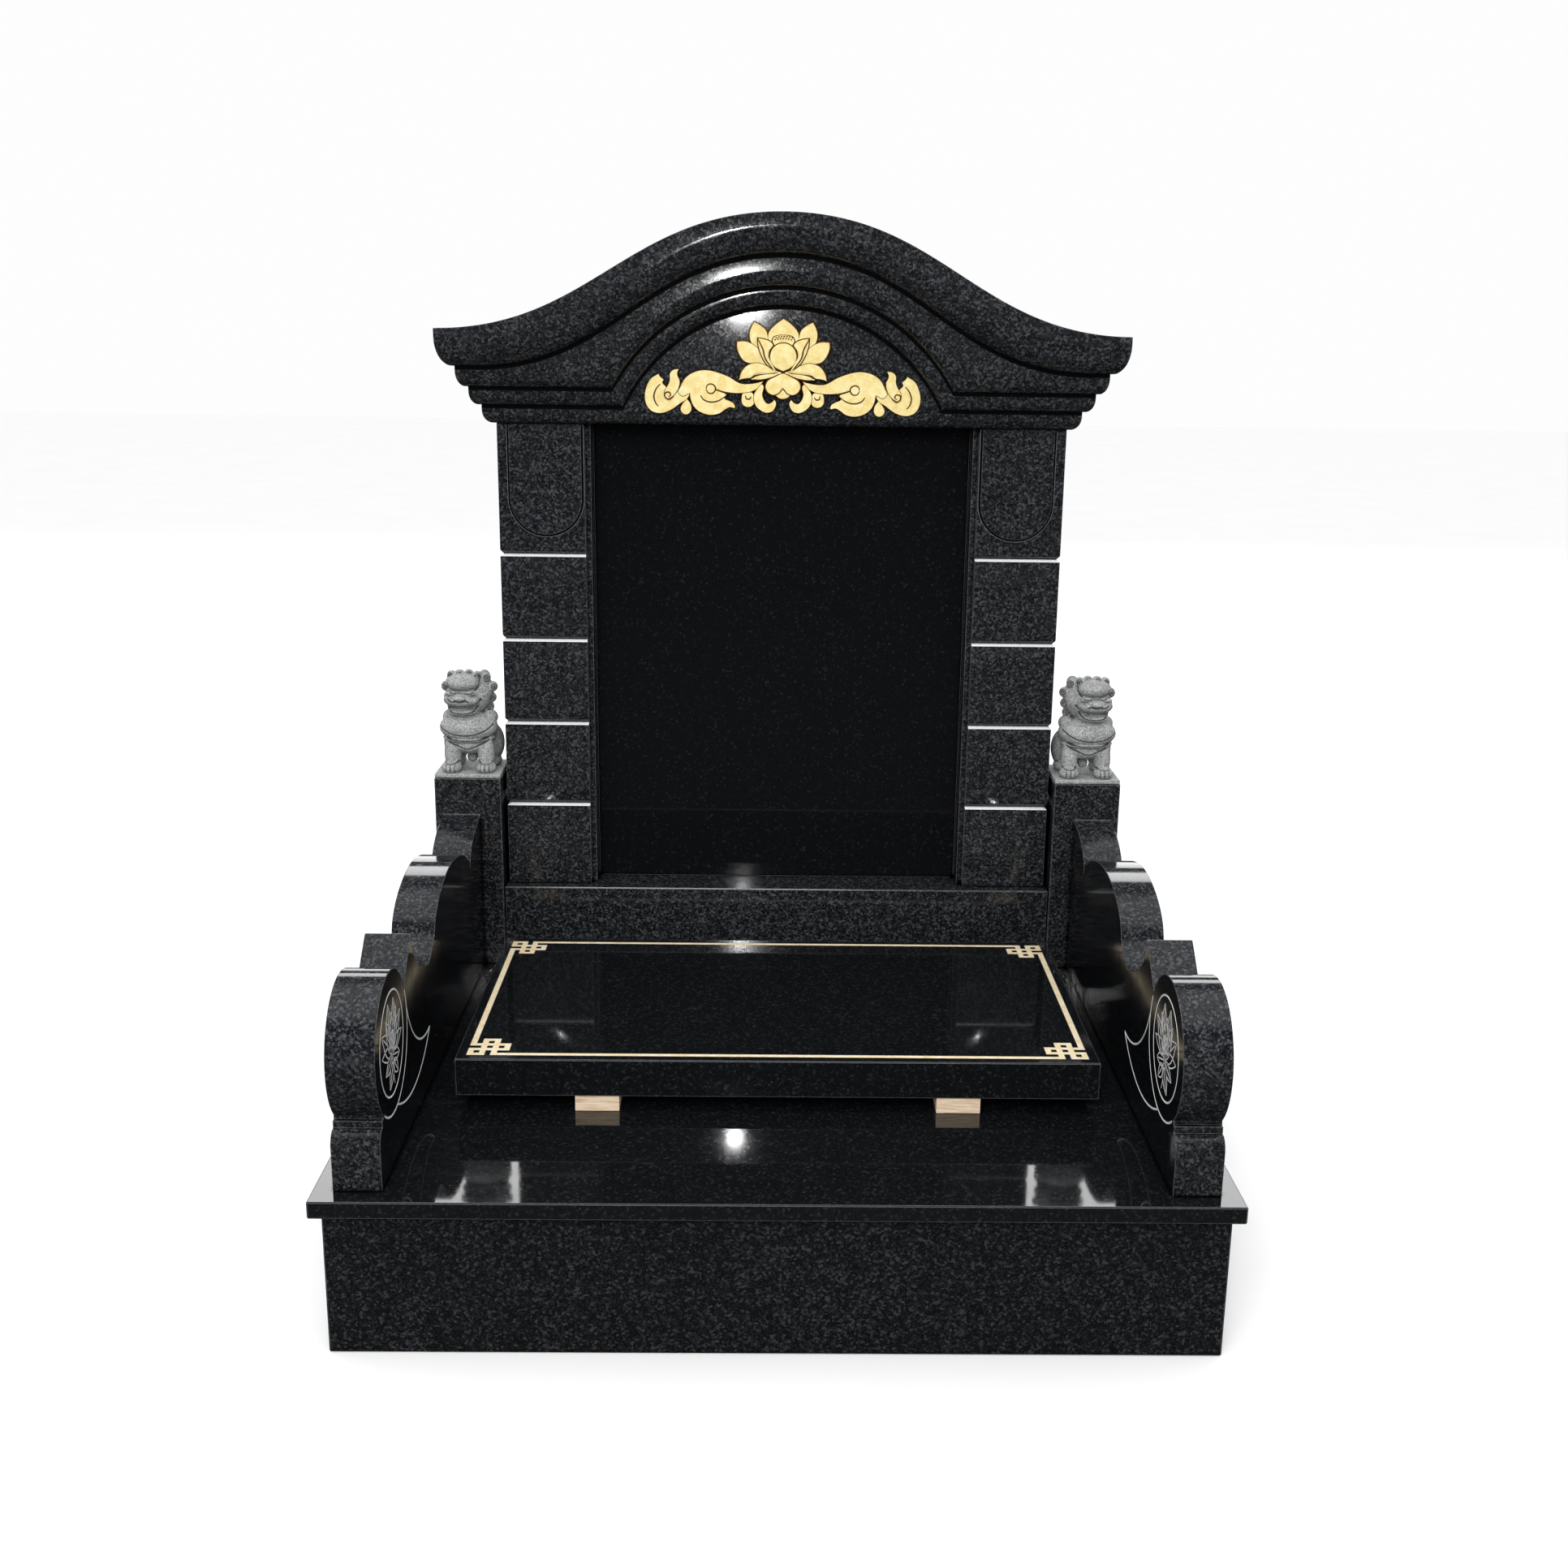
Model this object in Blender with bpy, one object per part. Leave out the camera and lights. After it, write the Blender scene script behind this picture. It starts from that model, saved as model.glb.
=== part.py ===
"""A polished black granite tomb monument, modelled stone by stone.

Units are metres. X runs to the viewer's right, the front faces -Y and Z is up. The origin is in the
middle of the plinth's underside. Every stone is a solid of its own, a hair's breadth clear of the
stones that it touches.
"""
import math

import bmesh
import bpy
from mathutils import Vector

# Fits
joint_gap = 0.0003
arris = 0.002

# Plinth and platform
platform_width = 1.500
platform_depth = 1.400
platform_thickness = 0.030
plinth_height = 0.250
plinth_setback = 0.018

# Dado, the low block that the stele stands on, as wide as the room between the posts
dado_height = 0.174
dado_depth = 0.242
dado_back_margin = 0.080

# Pillars and panel
pillar_height = 0.983
pillar_width = 0.190
pillar_inset = 0.007
pillar_ledge = 0.031
course_count = 4
crown_course_height = 0.267
course_groove_depth = 0.007
course_chamfer_height = 0.010
inner_strip_width = 0.018
inner_strip_setback = 0.012
tablet_margin = 0.024
tablet_drop = 0.226
tablet_relief = 0.005
panel_recess = 0.063
panel_thickness = 0.060
panel_fit = 0.001

# Roof stone: each layer steps out beyond the pillars, from the eave down
layer_overhangs = (0.103, 0.069, 0.047, 0.025)
layer_levels = (0.113, 0.073, 0.037, 0.0)
ovolo_heights = (0.055, 0.030, 0.026, 0.026)
ovolo_quirk = 0.004
ovolo_steps = 3
layer_overlap = 0.018
eave_tip_thickness = 0.072
eave_rise = 0.226
eave_soffit_rise = 0.221
eave_soffit_span = 0.610
eave_fullness = 0.024
arch_half_widths = (0.342, 0.322)
arch_rises = (0.201, 0.200)
half_stations = 16

# Lotus and scrolls in low relief on the tympanum
lotus_height = 0.160
lotus_centre_height = 0.138
lotus_relief = 0.008
bud_share = 0.182
scroll_reach = 0.279
scroll_axis_height = 0.065
scroll_relief = 0.005

# Posts beside the stele
post_size = 0.141
post_height = 0.417
post_lead = 0.005
post_gap = 0.001
post_side_margin = 0.018

# Guardian lions
lion_height = 0.215
lion_plate_thickness = 0.008
lion_plate_margin = 0.001

# Balustrades
balustrade_thickness = 0.080
balustrade_step = 0.016
balustrade_height = 0.337
foot_setback = 0.036
foot_height = 0.076
foot_moulding_depth = 0.016
foot_moulding_height = 0.024
neck_height = 0.112
neck_step = 0.007
drum_radius = 0.122
drum_centre_height = 0.208
drum_bulge = 0.008
drum_seam_angle = 27.6
drum_steps = 20
medallion_radius = 0.088
engraving_width = 0.0032
engraving_depth = 0.0015

# Cover slab, its gilded border and the wooden blocks that it rests on
cover_depth = 0.624
cover_thickness = 0.070
cover_side_gap = 0.065
cover_back_gap = 0.120
border_margin = 0.0185
border_bar = 0.0104
border_sink = 0.0010
block_width = 0.078
block_depth = 0.060
block_height = 0.029
block_spacing = 0.642
block_setback = 0.004

# Places that follow from the sizes above
platform_top = plinth_height + platform_thickness
platform_front = -platform_depth / 2
post_outer = platform_width / 2 - post_side_margin
post_inner = post_outer - post_size
post_centre = post_outer - post_size / 2
dado_width = 2 * (post_inner - post_gap)
dado_back = platform_depth / 2 - dado_back_margin
dado_front = dado_back - dado_depth
dado_top = platform_top + dado_height
pillar_front = dado_front + pillar_ledge
pillar_back = dado_back - pillar_ledge
pillar_outer = dado_width / 2 - pillar_inset
pillar_inner = pillar_outer - pillar_width
course_height = (pillar_height - crown_course_height) / course_count
pillar_top = dado_top + pillar_height
post_front = dado_front - post_lead
post_top = platform_top + post_height
balustrade_outer = post_outer - balustrade_step
balustrade_inner = balustrade_outer - balustrade_thickness
balustrade_front = platform_front + foot_setback
cover_half_width = balustrade_inner - cover_side_gap
cover_back = dado_front - cover_back_gap
cover_front = cover_back - cover_depth
cover_base = platform_top + block_height
cover_top = cover_base + cover_thickness


def clear_objects():
    for old in list(bpy.data.objects):
        bpy.data.objects.remove(old, do_unlink=True)


def make_material(name, colour, roughness):
    material = bpy.data.materials.new(name)
    material.use_nodes = True
    shader = material.node_tree.nodes["Principled BSDF"]
    shader.inputs["Base Color"].default_value = (*colour, 1.0)
    shader.inputs["Roughness"].default_value = roughness
    shader.inputs["Metallic"].default_value = 0.0
    material.diffuse_color = (*colour, 1.0)
    return material


def finish_mesh(name, bm, material=None):
    """Turn a bmesh into a named object with its faces pointing out."""
    bmesh.ops.recalc_face_normals(bm, faces=bm.faces)
    mesh = bpy.data.meshes.new(name)
    bm.to_mesh(mesh)
    bm.free()
    piece = bpy.data.objects.new(name, mesh)
    bpy.context.collection.objects.link(piece)
    if material:
        mesh.materials.append(material)
    return piece


def shade_curves(piece, angle):
    """Shade smooth across every edge that turns less than the angle, in degrees."""
    piece.data.shade_smooth()
    piece.data.set_sharp_from_angle(angle=math.radians(angle))


def loft(name, rings, material=None, closed=False):
    """Skin equal loops of points. An open loft gets a flat cap at each end."""
    bm = bmesh.new()
    loops = [[bm.verts.new(point) for point in ring] for ring in rings]
    pairs = list(zip(loops, loops[1:]))
    if closed:
        pairs.append((loops[-1], loops[0]))
    else:
        bm.faces.new(loops[0])
        bm.faces.new(loops[-1])
    for lower, upper in pairs:
        count = len(lower)
        for i in range(count):
            j = (i + 1) % count
            bm.faces.new((lower[i], lower[j], upper[j], upper[i]))
    return finish_mesh(name, bm, material)


def block(name, low, high, material=None, bevel=0.0):
    """A rectangular stone between two corners."""
    outline = ((low[0], low[1]), (high[0], low[1]), (high[0], high[1]), (low[0], high[1]))
    piece = loft(name, [[(x, y, z) for x, y in outline] for z in (low[2], high[2])], material)
    if bevel:
        edge = piece.modifiers.new("arris", "BEVEL")
        edge.width = bevel
        edge.segments = 1
    return piece


def combine(target, tool, operation, solver="EXACT"):
    """Join a tool to a stone, or cut it away, and drop the tool."""
    modifier = target.modifiers.new(operation.lower(), "BOOLEAN")
    modifier.operation = operation
    modifier.solver = solver
    modifier.object = tool
    with bpy.context.temp_override(object=target, active_object=target):
        bpy.ops.object.modifier_apply(modifier=modifier.name)
    bpy.data.objects.remove(tool, do_unlink=True)


def arc_through(start, middle, end, steps):
    """Points of the circular arc through three points, both ends included."""
    a, b, c = Vector(start), Vector(middle), Vector(end)
    turn = 2 * ((b - a).x * (c - a).y - (b - a).y * (c - a).x)
    p, q = (b - a).length_squared, (c - a).length_squared
    centre = a + Vector((
        (c - a).y * p - (b - a).y * q,
        (b - a).x * q - (c - a).x * p,
    )) / turn
    radius = (a - centre).length
    first = math.atan2(*(a - centre).yx)
    sweep = math.atan2(*(c - centre).yx) - first
    if turn > 0 and sweep < 0:
        sweep += math.tau
    if turn < 0 and sweep > 0:
        sweep -= math.tau
    return [
        (centre.x + radius * math.cos(first + sweep * i / steps),
         centre.y + radius * math.sin(first + sweep * i / steps))
        for i in range(steps + 1)
    ]


def circle_points(centre, radius, first, last, steps):
    """Points on a circle between two angles in degrees."""
    angles = [math.radians(first + (last - first) * i / steps) for i in range(steps + 1)]
    return [(centre[0] + radius * math.cos(a), centre[1] + radius * math.sin(a)) for a in angles]


def ribbon_edges(path, widths, closed=False):
    """Both edges of a band that follows a path."""
    left, right = [], []
    count = len(path)
    for i, point in enumerate(path):
        before = path[i - 1] if i or closed else point
        after = path[(i + 1) % count] if i < count - 1 or closed else point
        along = (Vector(after) - Vector(before)).normalized()
        side = Vector((-along.y, along.x)) * widths[i] / 2
        left.append(Vector(point) + side)
        right.append(Vector(point) - side)
    return left, right


def ribbon_on_side(name, path, width, x_from, x_to, closed=False):
    """A band drawn in the YZ plane, as thick as the two X values say."""
    left, right = ribbon_edges(path, [width] * len(path), closed)
    rings = [
        [(x_from, *a), (x_from, *b), (x_to, *b), (x_to, *a)]
        for a, b in zip(left, right)
    ]
    return loft(name, rings, closed=closed)


def raised_on_front(name, outline, y_from, y_to):
    """An outline in the XZ plane, made solid between two Y values."""
    return loft(name, [[(x, y, z) for x, z in outline] for y in (y_from, y_to)])


def build_platform(granite):
    half_width, half_depth = platform_width / 2, platform_depth / 2
    block(
        "plinth",
        (-half_width + plinth_setback, -half_depth + plinth_setback, 0.0),
        (half_width - plinth_setback, half_depth - plinth_setback, plinth_height - joint_gap),
        granite, arris,
    )
    block(
        "platform_slab",
        (-half_width, -half_depth, plinth_height),
        (half_width, half_depth, platform_top - joint_gap),
        granite, arris,
    )


def build_dado(granite):
    block(
        "stele_base",
        (-dado_width / 2, dado_front, platform_top),
        (dado_width / 2, dado_back, dado_top - joint_gap),
        granite, arris,
    )


def course_levels():
    """Height and inset of each ring up a pillar: a crisp edge below a groove, a chamfer above."""
    levels = [(dado_top, 0.0)]
    for i in range(1, course_count + 1):
        groove = dado_top + i * course_height
        levels.append((groove - course_groove_depth / 4, 0.0))
        levels.append((groove, course_groove_depth))
        levels.append((groove + course_chamfer_height, 0.0))
    return [*levels, (pillar_top - joint_gap, 0.0)]


def tablet_outline(side):
    """The round-bottomed tablet on the crown course, in the XZ plane."""
    outer = pillar_outer - tablet_margin
    inner = pillar_inner + inner_strip_width
    radius = (outer - inner) / 2
    centre = (side * (outer + inner) / 2, pillar_top - tablet_drop + radius)
    curve = circle_points(centre, radius, 180, 360, 10)
    top = pillar_top - joint_gap
    return [(centre[0] - radius, top), *curve, (centre[0] + radius, top)]


def build_pillar(name, side, granite):
    """A pillar in one stone, grooved into courses, with a tablet at its head."""
    body_inner = side * (pillar_inner + inner_strip_width)
    rings = []
    for level, inset in course_levels():
        outer = side * (pillar_outer - inset)
        front, back = pillar_front + inset, pillar_back - inset
        corners = ((body_inner, front), (outer, front), (outer, back), (body_inner, back))
        rings.append([(x, y, level) for x, y in corners])
    pillar = loft(name, rings, granite)
    low, high = sorted((side * pillar_inner, body_inner + side * inner_strip_width))
    front, back = pillar_front + inner_strip_setback, pillar_back - inner_strip_setback
    strip = block("strip", (low, front, dado_top), (high, back, pillar_top - joint_gap))
    combine(pillar, strip, "UNION")
    tablet = raised_on_front(
        "tablet", tablet_outline(side), pillar_front - tablet_relief, pillar_front + tablet_relief)
    combine(pillar, tablet, "UNION")
    return pillar


def build_panel(granite):
    front = pillar_front + panel_recess
    half = pillar_inner - panel_fit
    block(
        "inscription_panel",
        (-half, front, dado_top),
        (half, front + panel_thickness, pillar_top - joint_gap),
        granite,
    )


def ogee(share):
    """Height share of the wave-shaped eave, 1 at the middle and 0 at the tips."""
    share = min(abs(share), 1.0)
    eased = share - eave_fullness * math.sin(math.tau * share)
    return (1 + math.cos(math.pi * eased)) / 2


def arch_height(x, half_width, rise):
    """Height of a segmental arch over its springing."""
    if abs(x) >= half_width:
        return 0.0
    radius = (half_width ** 2 + rise ** 2) / (2 * rise)
    return math.sqrt(radius ** 2 - x ** 2) - (radius - rise)


def layer_soffit(layer, x):
    """Height above the pillars of a roof layer's lower edge."""
    if layer == 0:
        return layer_levels[0] + eave_soffit_rise * ogee(x / eave_soffit_span)
    if layer < 3:
        return layer_levels[layer] + arch_height(x, arch_half_widths[layer - 1], arch_rises[layer - 1])
    return layer_levels[layer]


def layer_top(layer, x):
    """Height of a layer's upper edge. A lower layer runs up into the one above."""
    if layer == 0:
        half = pillar_outer + layer_overhangs[0]
        return layer_levels[0] + eave_tip_thickness + eave_rise * ogee(x / half)
    return layer_soffit(layer - 1, x) + layer_overlap


def layer_stations(layer, half):
    """X positions across a layer, with one on each springing of its arches."""
    ovolo_width = layer_ovolo_width(layer)
    limit = half - ovolo_width - 0.004
    stations = [limit * i / half_stations for i in range(-half_stations, half_stations + 1)]
    corners = [w for w in arch_half_widths if w < limit]
    for corner in corners:
        for side in (-1, 1):
            nearest = min(range(len(stations)), key=lambda i: abs(stations[i] - side * corner))
            stations[nearest] = side * corner
    return [-half, *stations, half]


def layer_ovolo_width(layer):
    """How far a layer's rounded lower edge runs in, up to the next layer."""
    below = layer_overhangs[layer + 1] if layer < 3 else 0.0
    return layer_overhangs[layer] - below - ovolo_quirk


def build_roof_layer(layer, granite):
    """One layer of the roof, its lower edge rounded on all four sides."""
    half = pillar_outer + layer_overhangs[layer]
    width, height = layer_ovolo_width(layer), ovolo_heights[layer]
    stations = layer_stations(layer, half)
    front = pillar_front - layer_overhangs[layer]
    back = pillar_back + layer_overhangs[layer]
    levels = []
    for i in range(ovolo_steps + 1):
        angle = math.pi / 2 * i / ovolo_steps
        levels.append((height * (1 - math.cos(angle)), width * (1 - math.sin(angle))))
    rows = []
    for rise, inset in levels:
        xs = [max(-half + inset, min(half - inset, x)) for x in stations]
        rows.append(([(x, pillar_top + layer_soffit(layer, x) + rise) for x in xs], inset))
    rows.append(([(x, pillar_top + layer_top(layer, x)) for x in stations], 0.0))
    bm = bmesh.new()
    fronts = [[bm.verts.new((x, front + inset, z)) for x, z in row] for row, inset in rows]
    backs = [[bm.verts.new((x, back - inset, z)) for x, z in row] for row, inset in rows]
    last = len(stations) - 1
    for i in range(last):
        for k in range(len(rows) - 1):
            bm.faces.new((fronts[k][i], fronts[k][i + 1], fronts[k + 1][i + 1], fronts[k + 1][i]))
            bm.faces.new((backs[k][i + 1], backs[k][i], backs[k + 1][i], backs[k + 1][i + 1]))
        bm.faces.new((backs[0][i], backs[0][i + 1], fronts[0][i + 1], fronts[0][i]))
        bm.faces.new((fronts[-1][i], fronts[-1][i + 1], backs[-1][i + 1], backs[-1][i]))
    for k in range(len(rows) - 1):
        bm.faces.new((backs[k][0], fronts[k][0], fronts[k + 1][0], backs[k + 1][0]))
        bm.faces.new((fronts[k][last], backs[k][last], backs[k + 1][last], fronts[k + 1][last]))
    return finish_mesh("roof" if layer == 0 else "roof_layer", bm, granite)


def petal_outline(base, tip, width, steps=5):
    """A pointed leaf between its base and its tip."""
    start, axis = Vector(base), Vector(tip) - Vector(base)
    side = Vector((-axis.y, axis.x)).normalized() * width / 2
    swell = [math.sin(math.pi * (i / steps) ** 0.85) for i in range(steps + 1)]
    spine = [start + axis * i / steps for i in range(steps + 1)]
    left = [spine[i] + side * swell[i] for i in range(1, steps)]
    right = [spine[i] - side * swell[i] for i in range(steps - 1, 0, -1)]
    return [spine[0], *left, spine[steps], *right]


def lotus_petals():
    """Each petal's base, tip, width and relief, as shares of the flower's height."""
    petals = [((0.0, 0.03), (0.0, 0.472), 0.42, 0.36), ((0.0, -0.30), (0.0, -0.53), 0.24, 0.45)]
    for side in (-1, 1):
        lift = 0.015 * side
        petals.append(((side * 0.20, 0.04), (side * 0.385, 0.427), 0.27, 0.42 + lift))
        petals.append(((side * 0.12, -0.14), (side * 0.594, 0.185), 0.29, 0.52 + lift))
        petals.append(((side * 0.03, -0.19), (side * 0.562, -0.297), 0.27, 0.64 + lift))
        petals.append(((side * 0.05, -0.20), (side * 0.332, 0.229), 0.23, 0.76 + lift))
        petals.append(((side * 0.01, -0.17), (side * 0.12, -0.48), 0.25, 0.84 + lift))
    return petals


def scroll_bands():
    """Paths and widths of a cloud scroll's bands, as shares of its reach from the middle."""
    stem = (
        (0.137, 0.075, 0.045), (0.219, 0.038, 0.069), (0.316, 0.043, 0.084), (0.413, 0.084, 0.099),
        (0.496, 0.119, 0.099), (0.578, 0.119, 0.093), (0.660, 0.080, 0.093), (0.719, 0.014, 0.096),
        (0.779, -0.058, 0.099), (0.854, -0.094, 0.099), (0.933, -0.065, 0.084), (0.969, 0.000, 0.069),
        (0.958, 0.065, 0.057), (0.913, 0.113, 0.030),
    )
    lobe = (
        (0.667, -0.014, 0.045), (0.640, -0.080, 0.075), (0.570, -0.116, 0.080), (0.488, -0.109, 0.070),
        (0.413, -0.085, 0.050), (0.361, -0.087, 0.024),
    )
    hook = (
        (0.152, 0.014, 0.045), (0.160, -0.043, 0.062), (0.130, -0.094, 0.056), (0.085, -0.101, 0.040),
        (0.052, -0.066, 0.020),
    )
    return (stem, 0.80), (lobe, 0.66), (hook, 0.55)


def scroll_leaves():
    """Base, tip, width and relief of a scroll's small leaves and buds, as shares of its reach."""
    return (
        ((0.563, -0.029), (0.401, -0.012), 0.060, 0.72),
        ((0.824, -0.043), (0.746, 0.167), 0.082, 0.70),
        ((0.700, -0.050), (0.705, -0.160), 0.084, 0.50),
        ((0.250, 0.020), (0.254, -0.100), 0.092, 0.48),
        ((0.615, 0.050), (0.440, -0.060), 0.150, 0.90),
    )


def relieve(roof, outline, rear, front):
    """Raise an outline from the roof's face."""
    combine(roof, raised_on_front("relief", outline, rear, front), "UNION", "MANIFOLD")


def raise_scroll(roof, side, face):
    """Raise one of the two scrolls beside the flower."""
    middle = Vector((0.0, pillar_top + scroll_axis_height))

    def place(x, z):
        return middle + Vector((side * x, z)) * scroll_reach

    rear = face + 0.0040 + 0.0002 * side
    for band, relief in scroll_bands():
        path = [place(x, z) for x, z, width in band]
        left, right = ribbon_edges(path, [width * scroll_reach for x, z, width in band])
        relieve(roof, [*left, *reversed(right)], rear, face - relief * scroll_relief)
    for base, tip, width, relief in scroll_leaves():
        outline = petal_outline(place(*base), place(*tip), width * scroll_reach)
        relieve(roof, outline, rear, face - relief * scroll_relief)


def carve_tympanum(roof):
    """Raise the lotus and its scrolls from the tympanum."""
    face = pillar_front - layer_overhangs[3]
    for side in (-1, 1):
        raise_scroll(roof, side, face)
    centre = Vector((0.0, pillar_top + lotus_centre_height))
    for i, (base, tip, width, relief) in enumerate(lotus_petals()):
        ends = [centre + Vector(point) * lotus_height for point in (base, tip)]
        outline = petal_outline(*ends, width * lotus_height)
        relieve(roof, outline, face + 0.0050 + 0.0001 * i, face - relief * lotus_relief)
    bud = circle_points(centre, bud_share * lotus_height, 0, 330, 11)
    relieve(roof, bud, face + 0.007, face - lotus_relief)


def build_roof(granite):
    roof = build_roof_layer(0, granite)
    for layer in range(1, 4):
        combine(roof, build_roof_layer(layer, granite), "UNION")
    carve_tympanum(roof)
    shade_curves(roof, 35)
    return roof


def build_post(name, side, granite):
    centre = side * post_centre
    block(
        name,
        (centre - post_size / 2, post_front, platform_top),
        (centre + post_size / 2, post_front + post_size, post_top - joint_gap),
        granite, arris,
    )


def lion_lumps():
    """The lion's rounded masses: centre and radii as shares of its height, then segments.

    The figure faces -Y with its head turned a little to -X.
    """
    lumps = [
        ((0.00, 0.08, 0.40), (0.25, 0.26, 0.16), 10),
        ((-0.01, -0.07, 0.43), (0.29, 0.23, 0.155), 12),
        ((-0.01, -0.06, 0.315), (0.265, 0.22, 0.05), 10),
        ((0.00, -0.02, 0.26), (0.20, 0.22, 0.11), 10),
        ((0.00, 0.00, 0.76), (0.235, 0.20, 0.21), 10),
        ((-0.04, -0.09, 0.895), (0.185, 0.175, 0.10), 12),
        ((-0.05, -0.17, 0.725), (0.185, 0.150, 0.085), 12),
        ((-0.05, -0.155, 0.595), (0.150, 0.130, 0.045), 10),
        ((-0.05, -0.315, 0.76), (0.06, 0.035, 0.03), 6),
        ((0.03, 0.28, 0.44), (0.08, 0.055, 0.17), 8),
    ]
    for side in (-1, 1):
        lumps.append(((side * 0.165, -0.13, 0.17), (0.085, 0.095, 0.20), 8))
        lumps.append(((side * 0.17, -0.20, 0.045), (0.100, 0.120, 0.060), 8))
        lumps.append(((side * 0.175, 0.16, 0.22), (0.130, 0.150, 0.20), 8))
        lumps.append(((side * 0.18, 0.12, 0.045), (0.100, 0.150, 0.060), 8))
        lumps.append(((side * 0.10 - 0.05, -0.255, 0.815), (0.07, 0.04, 0.025), 6))
        for i in range(4):
            angle = math.radians(52 - 33 * i)
            reach = 0.215 + 0.022 * (i % 2)
            lumps.append((
                (side * reach * math.cos(angle * 0.8), -0.02 + 0.02 * i, 0.77 + 0.20 * math.sin(angle)),
                (0.055, 0.075, 0.052), 6,
            ))
    for i in range(3):
        lumps.append(((-0.13 + 0.10 * i, -0.06, 0.955), (0.06, 0.09, 0.045), 6))
    return lumps


def ellipsoid(centre, radii, segments):
    bm = bmesh.new()
    bmesh.ops.create_uvsphere(bm, u_segments=segments, v_segments=max(4, segments // 2), radius=1.0)
    for vertex in bm.verts:
        vertex.co = Vector(c + v * r for c, v, r in zip(centre, vertex.co, radii))
    return finish_mesh("lump", bm)


def fill_hollows(piece):
    """Keep a carved figure's outer skin alone, so that nothing is hollow inside."""
    bm = bmesh.new()
    bm.from_mesh(piece.data)
    loose, skins = set(bm.verts), []
    while loose:
        skin, edge = set(), [loose.pop()]
        while edge:
            vertex = edge.pop()
            skin.add(vertex)
            near = {link.other_vert(vertex) for link in vertex.link_edges} & loose
            loose -= near
            edge += near
        skins.append(skin)
    outer = max(skins, key=len)
    bmesh.ops.delete(bm, geom=[v for v in bm.verts if v not in outer], context="VERTS")
    bm.to_mesh(piece.data)
    bm.free()


def build_lion(name, side, stone):
    """A guardian lion standing on its plate, carved in one stone with it."""
    half = post_size / 2 - lion_plate_margin
    middle = Vector((side * post_centre, post_front + post_size / 2, post_top))
    lion = block(
        name,
        (middle.x - half, middle.y - half, middle.z),
        (middle.x + half, middle.y + half, middle.z + lion_plate_thickness),
        stone,
    )
    base = middle + Vector((0, 0, lion_plate_thickness))
    for centre, radii, segments in lion_lumps():
        place = [-side * centre[0] * lion_height, centre[1] * lion_height, centre[2] * lion_height]
        size = [radius * lion_height for radius in radii]
        combine(lion, ellipsoid(base + Vector(place), size, segments), "UNION")
    fill_hollows(lion)
    shade_curves(lion, 50)
    return lion


def balustrade_outline():
    """The carved side profile in the YZ plane, from the foot back to the post."""
    front, base = balustrade_front, platform_top
    end = post_front - joint_gap
    neck = front + foot_moulding_depth
    outline = [(end, base), (front, base), (front, base + foot_height)]
    outline += arc_through(
        (front, base + foot_height),
        (front + 0.35 * foot_moulding_depth, base + foot_height + 0.65 * foot_moulding_height),
        (neck, base + foot_height + foot_moulding_height), 4)[1:]
    outline += [(neck + neck_step, base + foot_height + foot_moulding_height)]
    outline += [(neck + neck_step, base + neck_height), (neck + 2 * neck_step, base + neck_height)]
    centre = drum_centre()
    below = drum_centre_height - neck_height - neck_step
    first = 180 + math.degrees(math.asin(below / drum_radius))
    outline += circle_points(centre, drum_radius, first, drum_seam_angle, drum_steps)
    start = outline[-1][0]
    for points in hump_curves():
        outline += [(start + (end - start) * y, base + balustrade_height * z) for y, z in points[1:]]
    return outline


def drum_centre():
    return (balustrade_front + drum_radius - drum_bulge, platform_top + drum_centre_height)


def hump_curves():
    """Arcs behind the drum, as shares of the run back to the post and of the height."""
    seam, peak, valley = (0.0, 0.785), (0.0945, 0.985), (0.258, 0.668)
    swell, crown, notch, end = (0.345, 0.795), (0.575, 1.0), (0.826, 0.779), (1.0, 0.994)
    return (
        arc_through(seam, (0.052, 0.900), peak, 3),
        arc_through(peak, (0.160, 0.757), valley, 6),
        arc_through(valley, (0.310, 0.712), swell, 3),
        arc_through(swell, (0.410, 0.925), crown, 6),
        arc_through(crown, (0.700, 0.955), notch, 7),
        arc_through(notch, (0.872, 0.918), end, 6),
    )


def engraved_lines():
    """Paths cut into a balustrade's inner face, in the YZ plane, and whether each is closed."""
    centre = drum_centre()
    ring = circle_points(centre, medallion_radius, 0, 342, 19)
    rim = circle_points(centre, drum_radius, drum_seam_angle - 5, -128, 12)
    tip = (centre[0] + 2.50 * drum_radius, centre[1] - 0.80 * drum_radius)
    upper, lower = (
        arc_through(
            (centre[0] + start[0] * drum_radius, centre[1] + start[1] * drum_radius),
            (centre[0] + middle[0] * drum_radius, centre[1] + middle[1] * drum_radius),
            tip, 9)
        for start, middle in (((1.02, 0.10), (1.62, -0.62)), ((0.20, -1.00), (1.25, -1.22)))
    )
    return (ring, True), (rim, False), (upper, False), (lower, False)


def build_balustrade(name, side, granite):
    """A carved side slab: foot, scroll drum and three humps rising to the post."""
    low, high = sorted((side * balustrade_inner, side * balustrade_outer))
    slab = loft(name, [[(x, y, z) for y, z in balustrade_outline()] for x in (low, high)], granite)
    face = side * balustrade_inner
    clear, deep = face - side * 0.002, face + side * engraving_depth
    for path, closed in engraved_lines():
        line = ribbon_on_side("engraving", path, engraving_width, clear, deep, closed)
        combine(slab, line, "DIFFERENCE")
    shade_curves(slab, 35)
    return slab


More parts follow.
